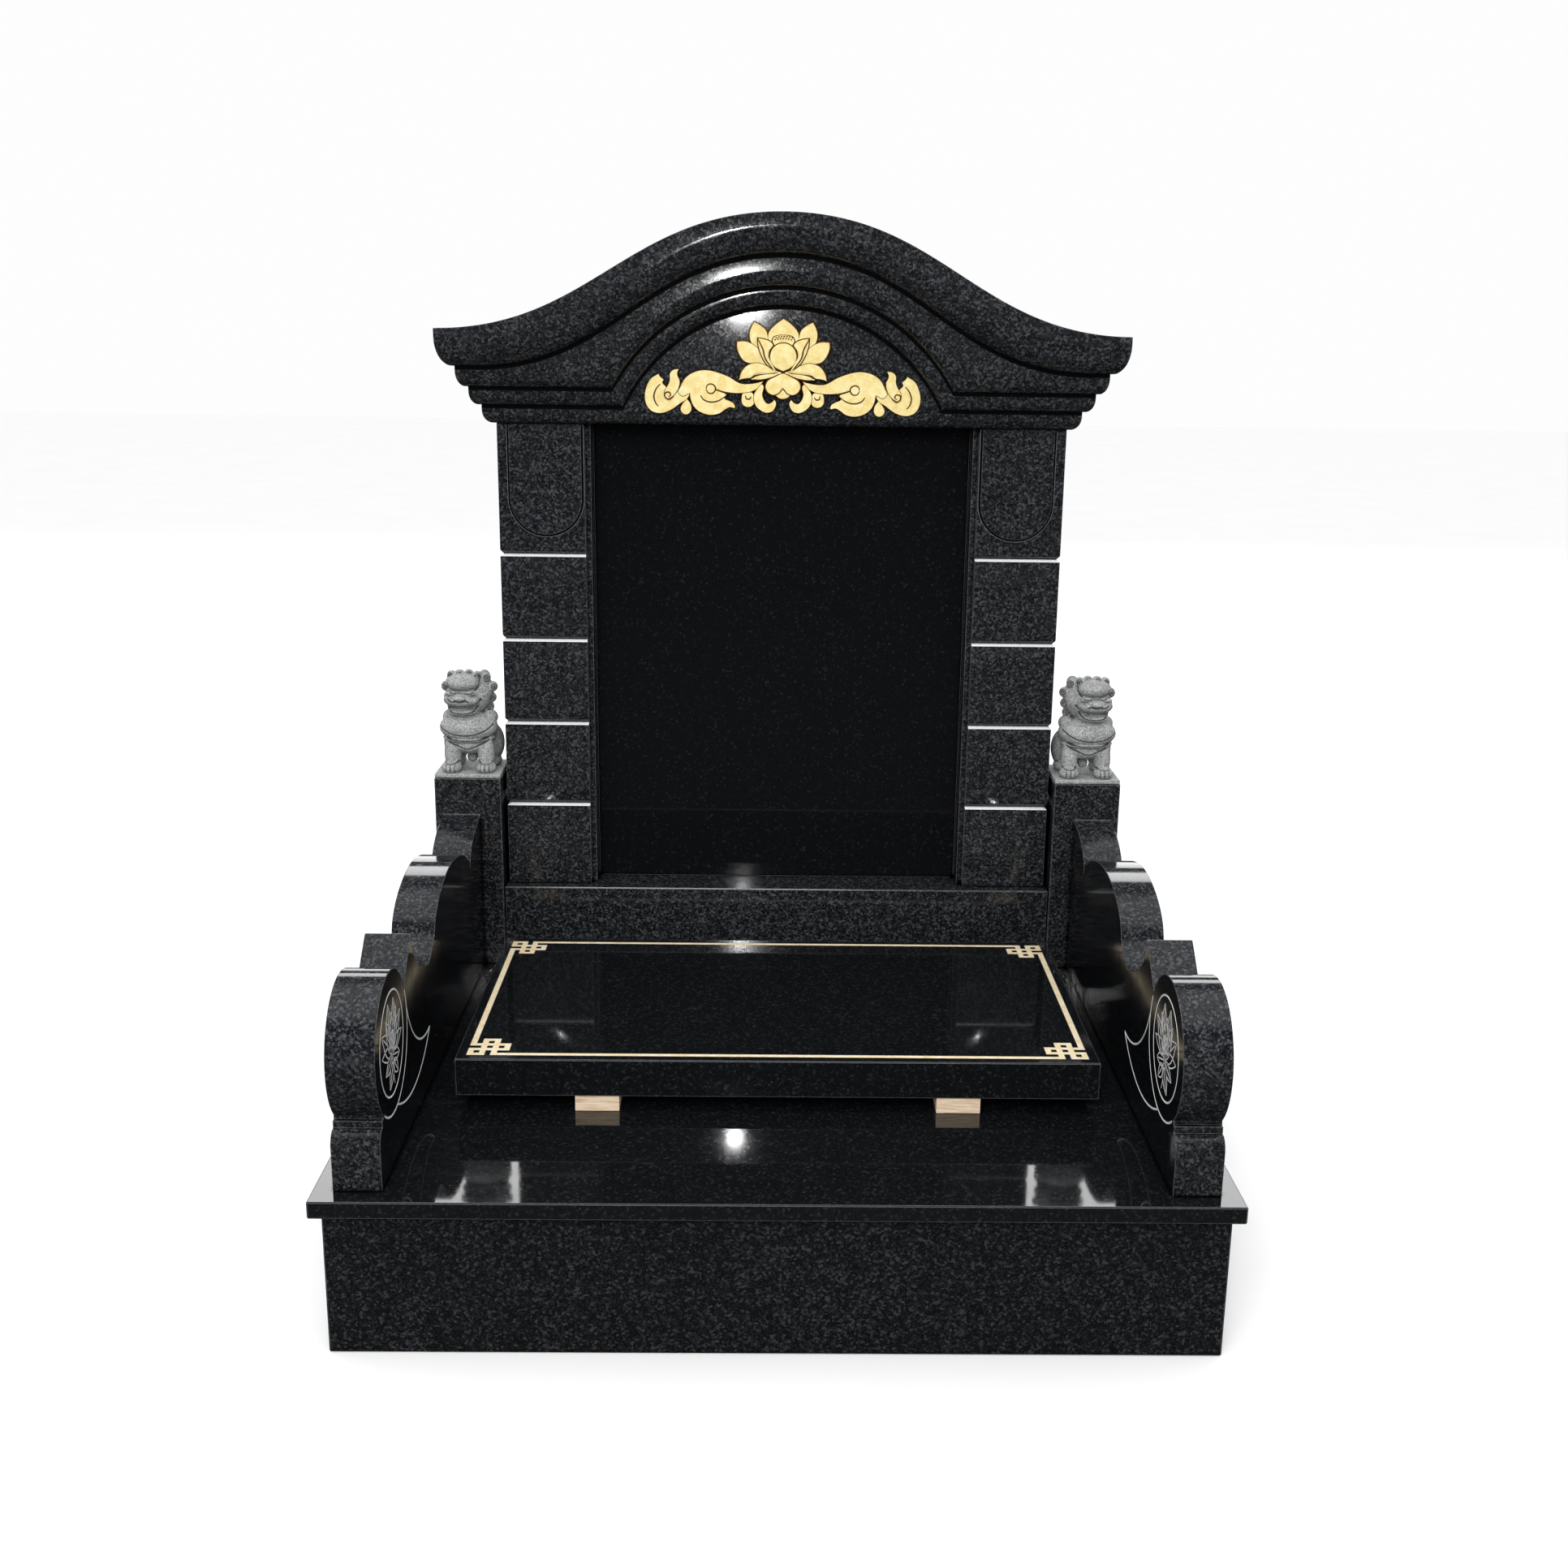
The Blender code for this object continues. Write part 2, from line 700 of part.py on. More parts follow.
def fret_bars(length_x, length_y):
    """Bars of one fret corner with its runs of border, measured from the border's outer corner."""
    return (
        (0, 0, 3, 1), (0, 0, 1, 3),
        (0, 2, 7, 3), (2, 0, 3, 7),
        (0, 4, 7, 5), (4, 0, 5, 7),
        (6, 2, 7, 5), (2, 6, 5, 7),
        (4, 0, length_x, 1), (0, 4, 1, length_y),
    )


def sink_border(slab):
    """Cut the channel that carries the gilding, a quarter at a time, each lapping the next by a bar."""
    reach_x = cover_half_width - border_margin
    reach_y = cover_depth / 2 - border_margin
    centre_y = (cover_front + cover_back) / 2
    lines = (reach_x / border_bar + 1, reach_y / border_bar + 1)
    for side_x in (-1, 1):
        for side_y in (-1, 1):
            channel = None
            for x0, y0, x1, y1 in fret_bars(*lines):
                xs = sorted(side_x * (reach_x - border_bar * v) for v in (x0, x1))
                ys = sorted(centre_y + side_y * (reach_y - border_bar * v) for v in (y0, y1))
                bottom = (xs[0], ys[0], cover_top - border_sink)
                bar = block("channel", bottom, (xs[1], ys[1], cover_top + 0.01))
                if channel:
                    combine(channel, bar, "UNION")
                else:
                    channel = bar
            combine(slab, channel, "DIFFERENCE")


def build_cover(granite):
    slab = block(
        "cover_slab",
        (-cover_half_width, cover_front, cover_base),
        (cover_half_width, cover_back, cover_top),
        granite, arris,
    )
    with bpy.context.temp_override(object=slab, active_object=slab):
        bpy.ops.object.modifier_apply(modifier="arris")
    sink_border(slab)


def build_blocks(wood):
    """Four short blocks that hold the cover slab clear of the platform."""
    rows = (("front", cover_front + block_setback), ("back", cover_back - block_setback - block_depth))
    for row, y in rows:
        for label, side in (("left", -1), ("right", 1)):
            centre = side * block_spacing / 2
            block(
                "wood_block_%s_%s" % (row, label),
                (centre - block_width / 2, y, platform_top),
                (centre + block_width / 2, y + block_depth, cover_base - joint_gap),
                wood,
            )


def main():
    clear_objects()
    granite = make_material("black_granite", (0.018, 0.018, 0.020), 0.08)
    grey = make_material("grey_granite", (0.46, 0.46, 0.45), 0.70)
    wood = make_material("pale_wood", (0.66, 0.48, 0.31), 0.75)
    build_platform(granite)
    build_dado(granite)
    build_panel(granite)
    build_roof(granite)
    build_cover(granite)
    build_blocks(wood)
    for label, side in (("left", -1), ("right", 1)):
        build_pillar("pillar_" + label, side, granite)
        build_post("post_" + label, side, granite)
        build_lion("lion_" + label, side, grey)
        build_balustrade("balustrade_" + label, side, granite)


main()
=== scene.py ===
"""Looks for a black granite tomb monument, laid over its packed stones.

Everything is in metres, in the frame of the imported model: X to the viewer's right, the front towards
-Y, Z up. The plain stones and the wooden blocks keep their solids and get their finish here. The roof,
the pillars, the side slabs and the lions are modelled again with their finer work. The gilding and the
etched lines are pieces of their own.
"""
import math

import bpy
from bpy.props import FloatProperty, FloatVectorProperty, IntProperty, PointerProperty
from bpy.types import Operator, Panel, PropertyGroup
from mathutils import Matrix, Vector, kdtree


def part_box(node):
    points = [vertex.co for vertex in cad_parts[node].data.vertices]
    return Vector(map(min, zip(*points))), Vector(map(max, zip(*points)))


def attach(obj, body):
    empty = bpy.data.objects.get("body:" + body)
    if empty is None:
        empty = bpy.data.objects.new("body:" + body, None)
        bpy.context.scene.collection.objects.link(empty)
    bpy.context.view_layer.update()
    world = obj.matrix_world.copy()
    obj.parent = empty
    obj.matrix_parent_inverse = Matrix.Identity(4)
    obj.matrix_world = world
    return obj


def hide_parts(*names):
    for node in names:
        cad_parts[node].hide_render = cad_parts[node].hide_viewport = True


bl_info = {
    "name": "Granite Tomb Monument",
    "version": (1, 0, 0),
    "blender": (4, 5, 0),
    "location": "View3D > Sidebar > Monument",
    "description": "Finishes the stones of a granite tomb monument and carves its finer work",
    "category": "Object",
}

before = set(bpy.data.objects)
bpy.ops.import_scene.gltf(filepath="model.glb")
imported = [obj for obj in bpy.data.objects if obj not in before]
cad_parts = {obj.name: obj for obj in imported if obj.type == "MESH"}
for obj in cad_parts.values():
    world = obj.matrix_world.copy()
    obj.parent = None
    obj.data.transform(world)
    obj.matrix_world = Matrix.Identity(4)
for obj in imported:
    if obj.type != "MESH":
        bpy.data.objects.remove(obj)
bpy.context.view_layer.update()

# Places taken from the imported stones
ROOF_LOW, ROOF_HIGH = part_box("roof")
PILLAR_LOW, PILLAR_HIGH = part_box("pillar_right")
POST_LOW, POST_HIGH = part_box("post_right")
SLAB_LOW, SLAB_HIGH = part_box("balustrade_right")
COVER_LOW, COVER_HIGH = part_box("cover_slab")
LION_LOW, LION_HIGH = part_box("lion_right")
TABLET_RELIEF = 0.005
PILLAR_FRONT = PILLAR_LOW.y + TABLET_RELIEF
PILLAR_TOP = ROOF_LOW.z
TYMPANUM_FRONT = PILLAR_FRONT - 0.025

# The film of the camera: its width in millimetres, and the shift of the picture's middle on it
SENSOR_WIDTH = 36
FILM_SHIFT = -0.0034


# ---------------------------------------------------------------- settings

def colour_setting(name, description, default):
    return FloatVectorProperty(
        name=name, description=description, subtype="COLOR", size=3, default=default, min=0, max=1)


def length_setting(name, description, default):
    return FloatProperty(name=name, description=description, default=default, unit="LENGTH")


def lengths_setting(name, description, *default):
    return FloatVectorProperty(
        name=name, description=description, size=len(default), default=default, unit="LENGTH")


class StoneSettings(PropertyGroup):
    ground: colour_setting(
        "Ground", "Colour of the black stone between its crystals", (0.0042, 0.0046, 0.0054))
    crystal: colour_setting(
        "Crystal", "Colour of the grey crystals in the black stone", (0.085, 0.090, 0.098))
    grain: length_setting("Grain", "Size of a crystal", 0.0040)
    lion_stone: colour_setting("Lion stone", "Colour of the grey granite of the lions", (0.375, 0.38, 0.38))
    arris: length_setting("Arris", "Width of the rounded edges of the stones", 0.0014)


class GildingSettings(PropertyGroup):
    leaf: colour_setting("Leaf", "Colour of the gilding on the carving", (0.94, 0.77, 0.33))
    line: colour_setting("Line", "Colour of the grooves between the gilded petals", (0.085, 0.035, 0.006))
    border: colour_setting("Border", "Colour of the gilded border of the cover slab", (0.95, 0.79, 0.50))
    rim: length_setting("Rim", "Width of the groove round each petal", 0.0023)


class RoofSettings(PropertyGroup):
    overhangs: lengths_setting(
        "Overhangs", "How far each layer stands out from the pillars, eave first",
        0.103, 0.069, 0.047, 0.025)
    levels: lengths_setting(
        "Levels", "Height of each layer's lower edge above the pillars", 0.113, 0.073, 0.037, 0.0)
    ovolos: lengths_setting("Ovolos", "Height of each layer's rounded edge", 0.055, 0.030, 0.026, 0.026)
    quirk: length_setting("Quirk", "Flat step beside each rounded edge", 0.004)
    stations: IntProperty(
        name="Stations", description="Cuts along each layer", default=112, min=24)
    curve_steps: IntProperty(
        name="Curve steps", description="Cuts round each rounded edge", default=9, min=3)
    # The shade line is a painted shadow: a near-black band under each layer above
    shade_line: length_setting("Shade line", "Height of the painted shadow line under each layer", 0.0075)


class SlabSettings(PropertyGroup):
    drum_radius: length_setting("Drum radius", "Radius of the scroll drum", 0.122)
    drum_height: length_setting("Drum height", "Height of the drum's middle above the platform", 0.208)
    drum_bulge: length_setting("Drum bulge", "How far the drum stands out over the foot", 0.008)
    medallion: length_setting("Medallion", "Radius of the ring round the etched lotus", 0.088)
    line: length_setting("Line", "Width of the engraved lines", 0.0032)
    etching: length_setting("Etching", "Width of the fine lines of the lotus", 0.0026)
    seal: length_setting("Seal", "Size of the sealed joint between slab and post", 0.004)


class LionSettings(PropertyGroup):
    height: length_setting("Height", "Height of a lion above its plate", 0.215)
    plate: length_setting("Plate", "Thickness of the plate under a lion", 0.008)
    voxel: length_setting("Voxel", "Size of the grid that the lion is carved on", 0.0014)


class StageSettings(PropertyGroup):
    floor: colour_setting("Floor", "Colour of the floor", (0.88, 0.88, 0.88))
    camera_place: FloatVectorProperty(
        name="Camera", description="Where the camera stands", subtype="TRANSLATION", size=3,
        default=(-0.0300, -3.1744, 1.6207), unit="LENGTH")
    camera_turn: FloatVectorProperty(
        name="Camera turn", description="Pitch down, yaw to the right and roll of the camera",
        size=3, default=(0.2563, 0.0151, 0.0134), unit="ROTATION")
    lens: FloatProperty(
        name="Lens", description="Focal length on a 36 mm sensor, in millimetres", default=39.477)


# ---------------------------------------------------------------- bench tools

def deselect_all():
    bpy.ops.object.select_all(action="DESELECT")


def activate(piece):
    deselect_all()
    piece.select_set(True)
    bpy.context.view_layer.objects.active = piece


def named(name, *materials):
    """Name the primitive just added and give it its materials."""
    piece = bpy.context.object
    piece.name = piece.data.name = name
    for material in materials:
        piece.data.materials.append(material)
    return piece


def apply_modifier(piece, kind, **values):
    activate(piece)
    modifier = piece.modifiers.new(kind.lower(), kind)
    for key, value in values.items():
        setattr(modifier, key, value)
    bpy.ops.object.modifier_apply(modifier=modifier.name)


def edit(piece, *steps):
    """Run edit mode steps on a piece, each with everything selected first."""
    activate(piece)
    bpy.ops.object.mode_set(mode="EDIT")
    for step in steps:
        bpy.ops.mesh.select_all(action="SELECT")
        step()
    bpy.ops.object.mode_set(mode="OBJECT")


def extrude(move):
    bpy.ops.mesh.extrude_region_move(TRANSFORM_OT_translate={"value": move})


def face_outwards(piece):
    edit(piece, lambda: bpy.ops.mesh.normals_make_consistent(inside=False))


def join(pieces, name):
    """Join several pieces into one."""
    deselect_all()
    for piece in pieces:
        piece.select_set(True)
    bpy.context.view_layer.objects.active = pieces[0]
    if len(pieces) > 1:
        bpy.ops.object.join()
    pieces[0].name = pieces[0].data.name = name
    return pieces[0]


def merge(piece, tool, operation="UNION", solver="EXACT"):
    """Join a tool's solid to a piece, or cut it away. New faces keep the tool's material."""
    apply_modifier(
        piece, "BOOLEAN", object=tool, operation=operation, solver=solver, material_mode="TRANSFER")
    bpy.data.objects.remove(tool, do_unlink=True)


def ease_edges(piece, width, angle=35, segments=2):
    apply_modifier(
        piece, "BEVEL", width=width, segments=segments, limit_method="ANGLE",
        angle_limit=math.radians(angle), miter_outer="MITER_ARC", use_clamp_overlap=True)


def polish_shading(piece, angle=18):
    """Shade curves smooth and keep the broad faces flat."""
    activate(piece)
    bpy.ops.object.shade_smooth_by_angle(angle=math.radians(angle))


def mirrored(piece, name):
    """A copy of a piece on the other side of the monument, with its own mesh."""
    activate(piece)
    bpy.ops.object.duplicate()
    twin = named(name)
    twin.data.transform(Matrix.Diagonal((-1, 1, 1, 1)))
    face_outwards(twin)
    return twin


def stone_block(name, low, high, *materials):
    """A rectangular block between two corners."""
    deselect_all()
    centre = (Vector(low) + Vector(high)) / 2
    bpy.ops.mesh.primitive_cube_add(size=1, location=centre, scale=Vector(high) - Vector(low))
    piece = named(name, *materials)
    bpy.ops.object.transform_apply(location=True, rotation=False, scale=True)
    return piece


def turns_left(outline):
    """True if an outline runs anticlockwise."""
    following = outline[1:] + outline[:1]
    return sum(a[0] * b[1] - b[0] * a[1] for a, b in zip(outline, following)) > 0


def in_plane(plane, a, b, level):
    """A point drawn in the XZ or YZ plane, at a level across the plane."""
    return (a, level, b) if plane == "XZ" else (level, a, b)


def filled_outline(name, outline, plane, level, *materials):
    """One flat face with a drawn outline."""
    deselect_all()
    bpy.ops.mesh.primitive_circle_add(vertices=len(outline), radius=1, fill_type="NGON")
    piece = named(name, *materials)
    for vertex, (a, b) in zip(piece.data.vertices, outline):
        vertex.co = in_plane(plane, a, b, level)
    return piece


def sheet(name, columns, lines, place, *materials):
    """A grid of faces. Place gives the spot of each crossing from its column and line."""
    deselect_all()
    bpy.ops.mesh.primitive_grid_add(x_subdivisions=columns, y_subdivisions=lines, size=1)
    piece = named(name, *materials)
    for vertex in piece.data.vertices:
        i, j = round((vertex.co.x + 0.5) * columns), round((vertex.co.y + 0.5) * lines)
        vertex.co = place(i, j)
    return piece


def plate(name, outline, plane, back, front, *materials):
    """A plate with a drawn outline in the XZ or YZ plane, extruded from back to front."""
    step = front - back
    wants_left = step < 0 if plane == "XZ" else step > 0
    if turns_left(outline) != wants_left:
        outline = outline[::-1]
    piece = filled_outline(name, outline, plane, back, *materials)
    edit(piece, lambda: extrude(in_plane(plane, 0, 0, step)))
    face_outwards(piece)
    return piece


def petal_plate(name, outline, back, front, rim, dome, *materials):
    """A plate facing -Y with a sunk rim round it, in the second material, and a cushioned face."""
    if not turns_left(outline):
        outline = outline[::-1]
    piece = filled_outline(name, outline, "XZ", back, *materials)
    sink = 0.6 * rim
    bpy.ops.object.mode_set(mode="EDIT")
    bpy.ops.mesh.select_all(action="SELECT")
    extrude((0, front + sink - back, 0))
    bpy.ops.mesh.inset(thickness=rim, depth=sink, use_boundary=True, use_even_offset=False)
    if dome:
        bpy.ops.mesh.poke(offset=dome)
    bpy.ops.object.mode_set(mode="OBJECT")
    for face in piece.data.polygons:
        if abs(face.normal.y) < 0.93:
            face.material_index = 1
    polish_shading(piece, 22)
    return piece


def strip(name, path, widths, plane, level, thickness, *materials):
    """A thin flat band along a drawn path, from a level towards the front or the right."""
    last = len(path) - 1
    edges = []
    for i, point in enumerate(path):
        along = (path[min(i + 1, last)] - path[max(i - 1, 0)]).normalized()
        side = Vector((-along.y, along.x)) * widths[i] / 2
        edges.append((point - side, point + side))
    piece = sheet(name, last, 1, lambda i, j: in_plane(plane, *edges[i][j], level), *materials)
    rise = -thickness if plane == "XZ" else thickness
    edit(piece, lambda: extrude(in_plane(plane, 0, 0, rise)))
    face_outwards(piece)
    return piece


def tapered(width, count, thin, inset=0.0):
    """Widths along a line that thins towards its ends. Inset leaves the ends less thin."""
    last = count - 1
    swells = [math.sin(math.pi * (inset + (1 - 2 * inset) * i / last)) for i in range(count)]
    return [width * (thin + (1 - thin) * swell) for swell in swells]


def spline_point(p0, p1, p2, p3, t):
    return 0.5 * (2 * p1 + (p2 - p0) * t + (2 * p0 - 5 * p1 + 4 * p2 - p3) * t * t
                  + (3 * p1 - p0 - 3 * p2 + p3) * t ** 3)


def drawn(points, closed=False, steps=5):
    """A smooth line through drawn points. A point with a third value is a corner."""
    knots = [Vector(point[:2]) for point in points]
    corner = [len(point) > 2 for point in points]
    count = len(knots)
    line = []
    for i in range(count if closed else count - 1):
        j = (i + 1) % count
        before = knots[i] if corner[i] or not (i or closed) else knots[i - 1]
        after = knots[j] if corner[j] or not (closed or i + 2 < count) else knots[(i + 2) % count]
        line += [spline_point(before, knots[i], knots[j], after, k / steps) for k in range(steps)]
    return line if closed else [*line, knots[-1]]


def circle(centre, radius, first, last, steps):
    """Points on a circle between two angles in degrees."""
    angles = [math.radians(first + (last - first) * i / steps) for i in range(steps + 1)]
    x, y = centre
    return [Vector((x + radius * math.cos(a), y + radius * math.sin(a))) for a in angles]


def arc_through(start, middle, end, steps):
    """Points of the circular arc through three points, both ends included."""
    a, b, c = Vector(start), Vector(middle), Vector(end)
    turn = 2 * ((b - a).x * (c - a).y - (b - a).y * (c - a).x)
    p, q = (b - a).length_squared, (c - a).length_squared
    centre = a + Vector(((c - a).y * p - (b - a).y * q, (b - a).x * q - (c - a).x * p)) / turn
    radius = (a - centre).length
    first = math.atan2(*(a - centre).yx)
    sweep = math.atan2(*(c - centre).yx) - first
    if turn > 0 and sweep < 0:
        sweep += math.tau
    if turn < 0 and sweep > 0:
        sweep -= math.tau
    angles = [first + sweep * i / steps for i in range(steps + 1)]
    return [centre + radius * Vector((math.cos(a), math.sin(a))) for a in angles]


# ---------------------------------------------------------------- finishes

def new_material(name, roughness=0.5, specular=0.5):
    material = bpy.data.materials.new(name)
    material.use_nodes = True
    shader = material.node_tree.nodes["Principled BSDF"]
    shader.inputs["Roughness"].default_value = roughness
    shader.inputs["Specular IOR Level"].default_value = specular
    return material, material.node_tree, shader


def grey(tone):
    return (tone, tone, tone)


def scaled(colour, *factors):
    """A colour times one factor, or times one for each channel, kept within white."""
    factors = factors if len(factors) == 3 else factors * 3
    return tuple(min(1.0, c * k) for c, k in zip(colour, factors))


def node(tree, kind, **values):
    made = tree.nodes.new(kind)
    for key, value in values.items():
        if hasattr(made, key):
            setattr(made, key, value)
        else:
            made.inputs[key].default_value = value
    return made


def ramp(tree, source, stops):
    made = tree.nodes.new("ShaderNodeValToRGB")
    made.color_ramp.elements[0].position = stops[0][0]
    made.color_ramp.elements[0].color = (*stops[0][1], 1)
    made.color_ramp.elements[1].position = stops[-1][0]
    made.color_ramp.elements[1].color = (*stops[-1][1], 1)
    for position, colour in stops[1:-1]:
        made.color_ramp.elements.new(position).color = (*colour, 1)
    tree.links.new(source, made.inputs["Fac"])
    return made.outputs["Color"]


def maths(tree, operation, a, b):
    made = node(tree, "ShaderNodeMath", operation=operation)
    for socket, value in zip(made.inputs, (a, b)):
        if isinstance(value, (int, float)):
            socket.default_value = value
        else:
            tree.links.new(value, socket)
    return made.outputs[0]


def blend(tree, factor, a, b, mode="MIX"):
    made = node(tree, "ShaderNodeMix", data_type="RGBA", blend_type=mode)
    for socket, value in ((made.inputs[0], factor), (made.inputs[6], a), (made.inputs[7], b)):
        if isinstance(value, (int, float)):
            socket.default_value = value
        elif isinstance(value, bpy.types.NodeSocket):
            tree.links.new(value, socket)
        else:
            socket.default_value = (*value, 1)
    return made.outputs[2]


def own_place(tree):
    return tree.nodes.new("ShaderNodeTexCoord").outputs["Object"]


def noise_at(tree, scale, detail=2.0, roughness=0.5, stretch=None):
    """Noise on the object's own coordinates."""
    place = own_place(tree)
    if stretch:
        mapping = node(tree, "ShaderNodeMapping", Scale=stretch)
        tree.links.new(place, mapping.inputs["Vector"])
        place = mapping.outputs["Vector"]
    made = node(tree, "ShaderNodeTexNoise", Scale=scale, Detail=detail, Roughness=roughness)
    tree.links.new(place, made.inputs["Vector"])
    return made.outputs["Fac"]


def crystals(tree, size):
    """A random value for each crystal of the stone."""
    cells = node(tree, "ShaderNodeTexVoronoi", Scale=1 / size, Randomness=1.0)
    tree.links.new(own_place(tree), cells.inputs["Vector"])
    parts = tree.nodes.new("ShaderNodeSeparateColor")
    tree.links.new(cells.outputs["Color"], parts.inputs[0])
    return parts.outputs[0]


def black_granite(name, stone, share, roughness, specular, haze, paleness):
    """Polished black granite. Share is how much of it the grey crystals take."""
    material, tree, shader = new_material(name, specular=specular)
    crystal = scaled(stone.crystal, paleness)
    grains = crystals(tree, stone.grain)
    fine = crystals(tree, stone.grain * 0.45)
    drifts = noise_at(tree, 14.0, 3.0, 0.6)
    flecks = ramp(tree, grains, (
        (1 - share, grey(0)), (1 - share * 0.45, grey(0.35)), (1, grey(1))))
    dust = ramp(tree, fine, ((1 - share * 0.7, grey(0)), (1, grey(0.45))))
    both = maths(tree, "MAXIMUM", flecks, dust)
    lightness = maths(tree, "MULTIPLY", both, maths(tree, "MULTIPLY_ADD", drifts, 1.1))
    tree.links.new(blend(tree, lightness, tuple(stone.ground), crystal), shader.inputs["Base Color"])
    shine = ramp(tree, drifts, ((0.25, grey(roughness * 0.75)), (0.75, grey(roughness * 1.3))))
    rough = maths(tree, "ADD", shine, maths(tree, "MULTIPLY", both, haze))
    tree.links.new(rough, shader.inputs["Roughness"])
    # Paler arrises: partly their duller polish, partly a painted highlight along the edges
    pale_arrises_and_highlight(tree, shader, 1.8 * stone.arris)
    # Painted shade in the inner corners and creases
    paint_crease_shade(tree, shader, 0.014)
    return material


def pale_arrises_and_highlight(tree, shader, width):
    """Pale, dull lines where two faces of the stone meet: less polished arrises, made paler still as a
    painted highlight along the edges.
    """
    rounded = node(tree, "ShaderNodeBevel", samples=6, Radius=width)
    flat = tree.nodes.new("ShaderNodeNewGeometry")
    facing = node(tree, "ShaderNodeVectorMath", operation="DOT_PRODUCT")
    tree.links.new(rounded.outputs["Normal"], facing.inputs[0])
    tree.links.new(flat.outputs["Normal"], facing.inputs[1])
    edge = ramp(tree, facing.outputs["Value"], ((0.80, grey(1)), (0.97, grey(0))))
    colour = shader.inputs["Base Color"].links[0].from_socket
    rough = shader.inputs["Roughness"].links[0].from_socket
    tree.links.new(blend(tree, edge, colour, (0.30, 0.305, 0.31)), shader.inputs["Base Color"])
    tree.links.new(blend(tree, edge, rough, grey(0.4)), shader.inputs["Roughness"])


def paint_crease_shade(tree, shader, reach):
    """Painted shade: darken the colour and the reflection in the inner corners and creases that the ambient
    occlusion finds.
    """
    crease_occlusion = node(tree, "ShaderNodeAmbientOcclusion", samples=8, Distance=reach)
    depth = ramp(tree, crease_occlusion.outputs["AO"], ((0.42, grey(0)), (0.80, grey(1))))
    colour = shader.inputs["Base Color"].links[0].from_socket
    tree.links.new(blend(tree, 1.0, colour, depth, "MULTIPLY"), shader.inputs["Base Color"])
    shine = maths(tree, "MULTIPLY", depth, shader.inputs["Specular IOR Level"].default_value)
    tree.links.new(shine, shader.inputs["Specular IOR Level"])


def bump(tree, shader, height, strength, distance):
    made = node(tree, "ShaderNodeBump", Strength=strength, Distance=distance)
    tree.links.new(height, made.inputs["Height"])
    tree.links.new(made.outputs["Normal"], shader.inputs["Normal"])


def lion_granite(name, stone):
    """Grey granite, carved and unpolished, with painted shade darkening its cut lines."""
    material, tree, shader = new_material(name, 0.72, 0.3)
    stops = ((0.0, 0.25), (0.30, 0.78), (0.80, 1.06), (1.0, 1.5))
    speckled = ramp(
        tree, crystals(tree, stone.grain * 0.4), [(at, scaled(stone.lion_stone, k)) for at, k in stops])
    worn = ramp(tree, noise_at(tree, 34.0, 4.0, 0.6), ((0.3, grey(0.80)), (0.7, grey(1.06))))
    colour = blend(tree, 1.0, speckled, worn, "MULTIPLY")
    # Painted shade: the cut attribute darkens the carved grooves towards near-black
    cut = node(tree, "ShaderNodeAttribute", attribute_name="cut").outputs["Fac"]
    tree.links.new(blend(tree, cut, colour, (0.035, 0.035, 0.036)), shader.inputs["Base Color"])
    bump(tree, shader, noise_at(tree, 900.0, 3.0, 0.7), 0.45, 0.0006)
    return material


def etched_stone_and_ledge_highlight(name):
    """Stone with its polish broken by the chisel or the etching needle. On the pillars' ledges the same pale
    stone is a painted highlight.
    """
    material, tree, shader = new_material(name, 0.7)
    tone = ramp(tree, noise_at(tree, 700.0, 2.0), ((0.3, grey(0.55)), (0.7, grey(0.85))))
    tree.links.new(tone, shader.inputs["Base Color"])
    return material


def gold_leaf(name, colour):
    """Gilding, brushed on by hand and a little uneven."""
    material, tree, shader = new_material(name, 0.45)
    deep, light = scaled(colour, 0.92, 0.84, 0.70), scaled(colour, 1.10, 1.20, 1.65)
    tone = ramp(
        tree, noise_at(tree, 75.0, 4.0, 0.65), ((0.30, deep), (0.5, tuple(colour)), (0.72, light)))
    tree.links.new(tone, shader.inputs["Base Color"])
    shader.inputs["Metallic"].default_value = 0.10
    bump(tree, shader, noise_at(tree, 650.0, 3.0, 0.6), 0.25, 0.0004)
    return material


def painted_line(name, colour):
    material, tree, shader = new_material(name, 0.55, 0.12)
    tone = ramp(tree, noise_at(tree, 160.0, 2.0), ((0.3, scaled(colour, 0.7)), (0.7, scaled(colour, 1.6))))
    tree.links.new(tone, shader.inputs["Base Color"])
    return material


def sawn_wood(name):
    """Pale rough-sawn timber with its grain along X."""
    material, tree, shader = new_material(name, 0.82)
    streaks = noise_at(tree, 60.0, 5.0, 0.65, (0.35, 2.2, 4.0))
    colour = ramp(tree, streaks, (
        (0.28, (0.48, 0.31, 0.18)), (0.5, (0.74, 0.57, 0.40)), (0.72, (0.86, 0.74, 0.58))))
    tree.links.new(colour, shader.inputs["Base Color"])
    bump(tree, shader, streaks, 0.5, 0.0012)
    return material


FINISHES = {}
# Share of grey crystals, roughness, specular level, haze and paleness of the crystals of each polish
GRANITES = {
    "coarse": ("granite_speckled", 0.56, 0.075, 0.42, 0.06, 0.70),
    "plinth": ("granite_honed", 0.44, 0.16, 0.26, 0.10, 0.42),
    "broad": ("granite_polished", 0.26, 0.045, 0.50, 0.03, 0.22),
    "mirror": ("granite_mirror", 0.12, 0.035, 0.14, 0.02, 0.16),
    "inner": ("granite_inner", 0.10, 0.12, 0.30, 0.02, 0.20),
}


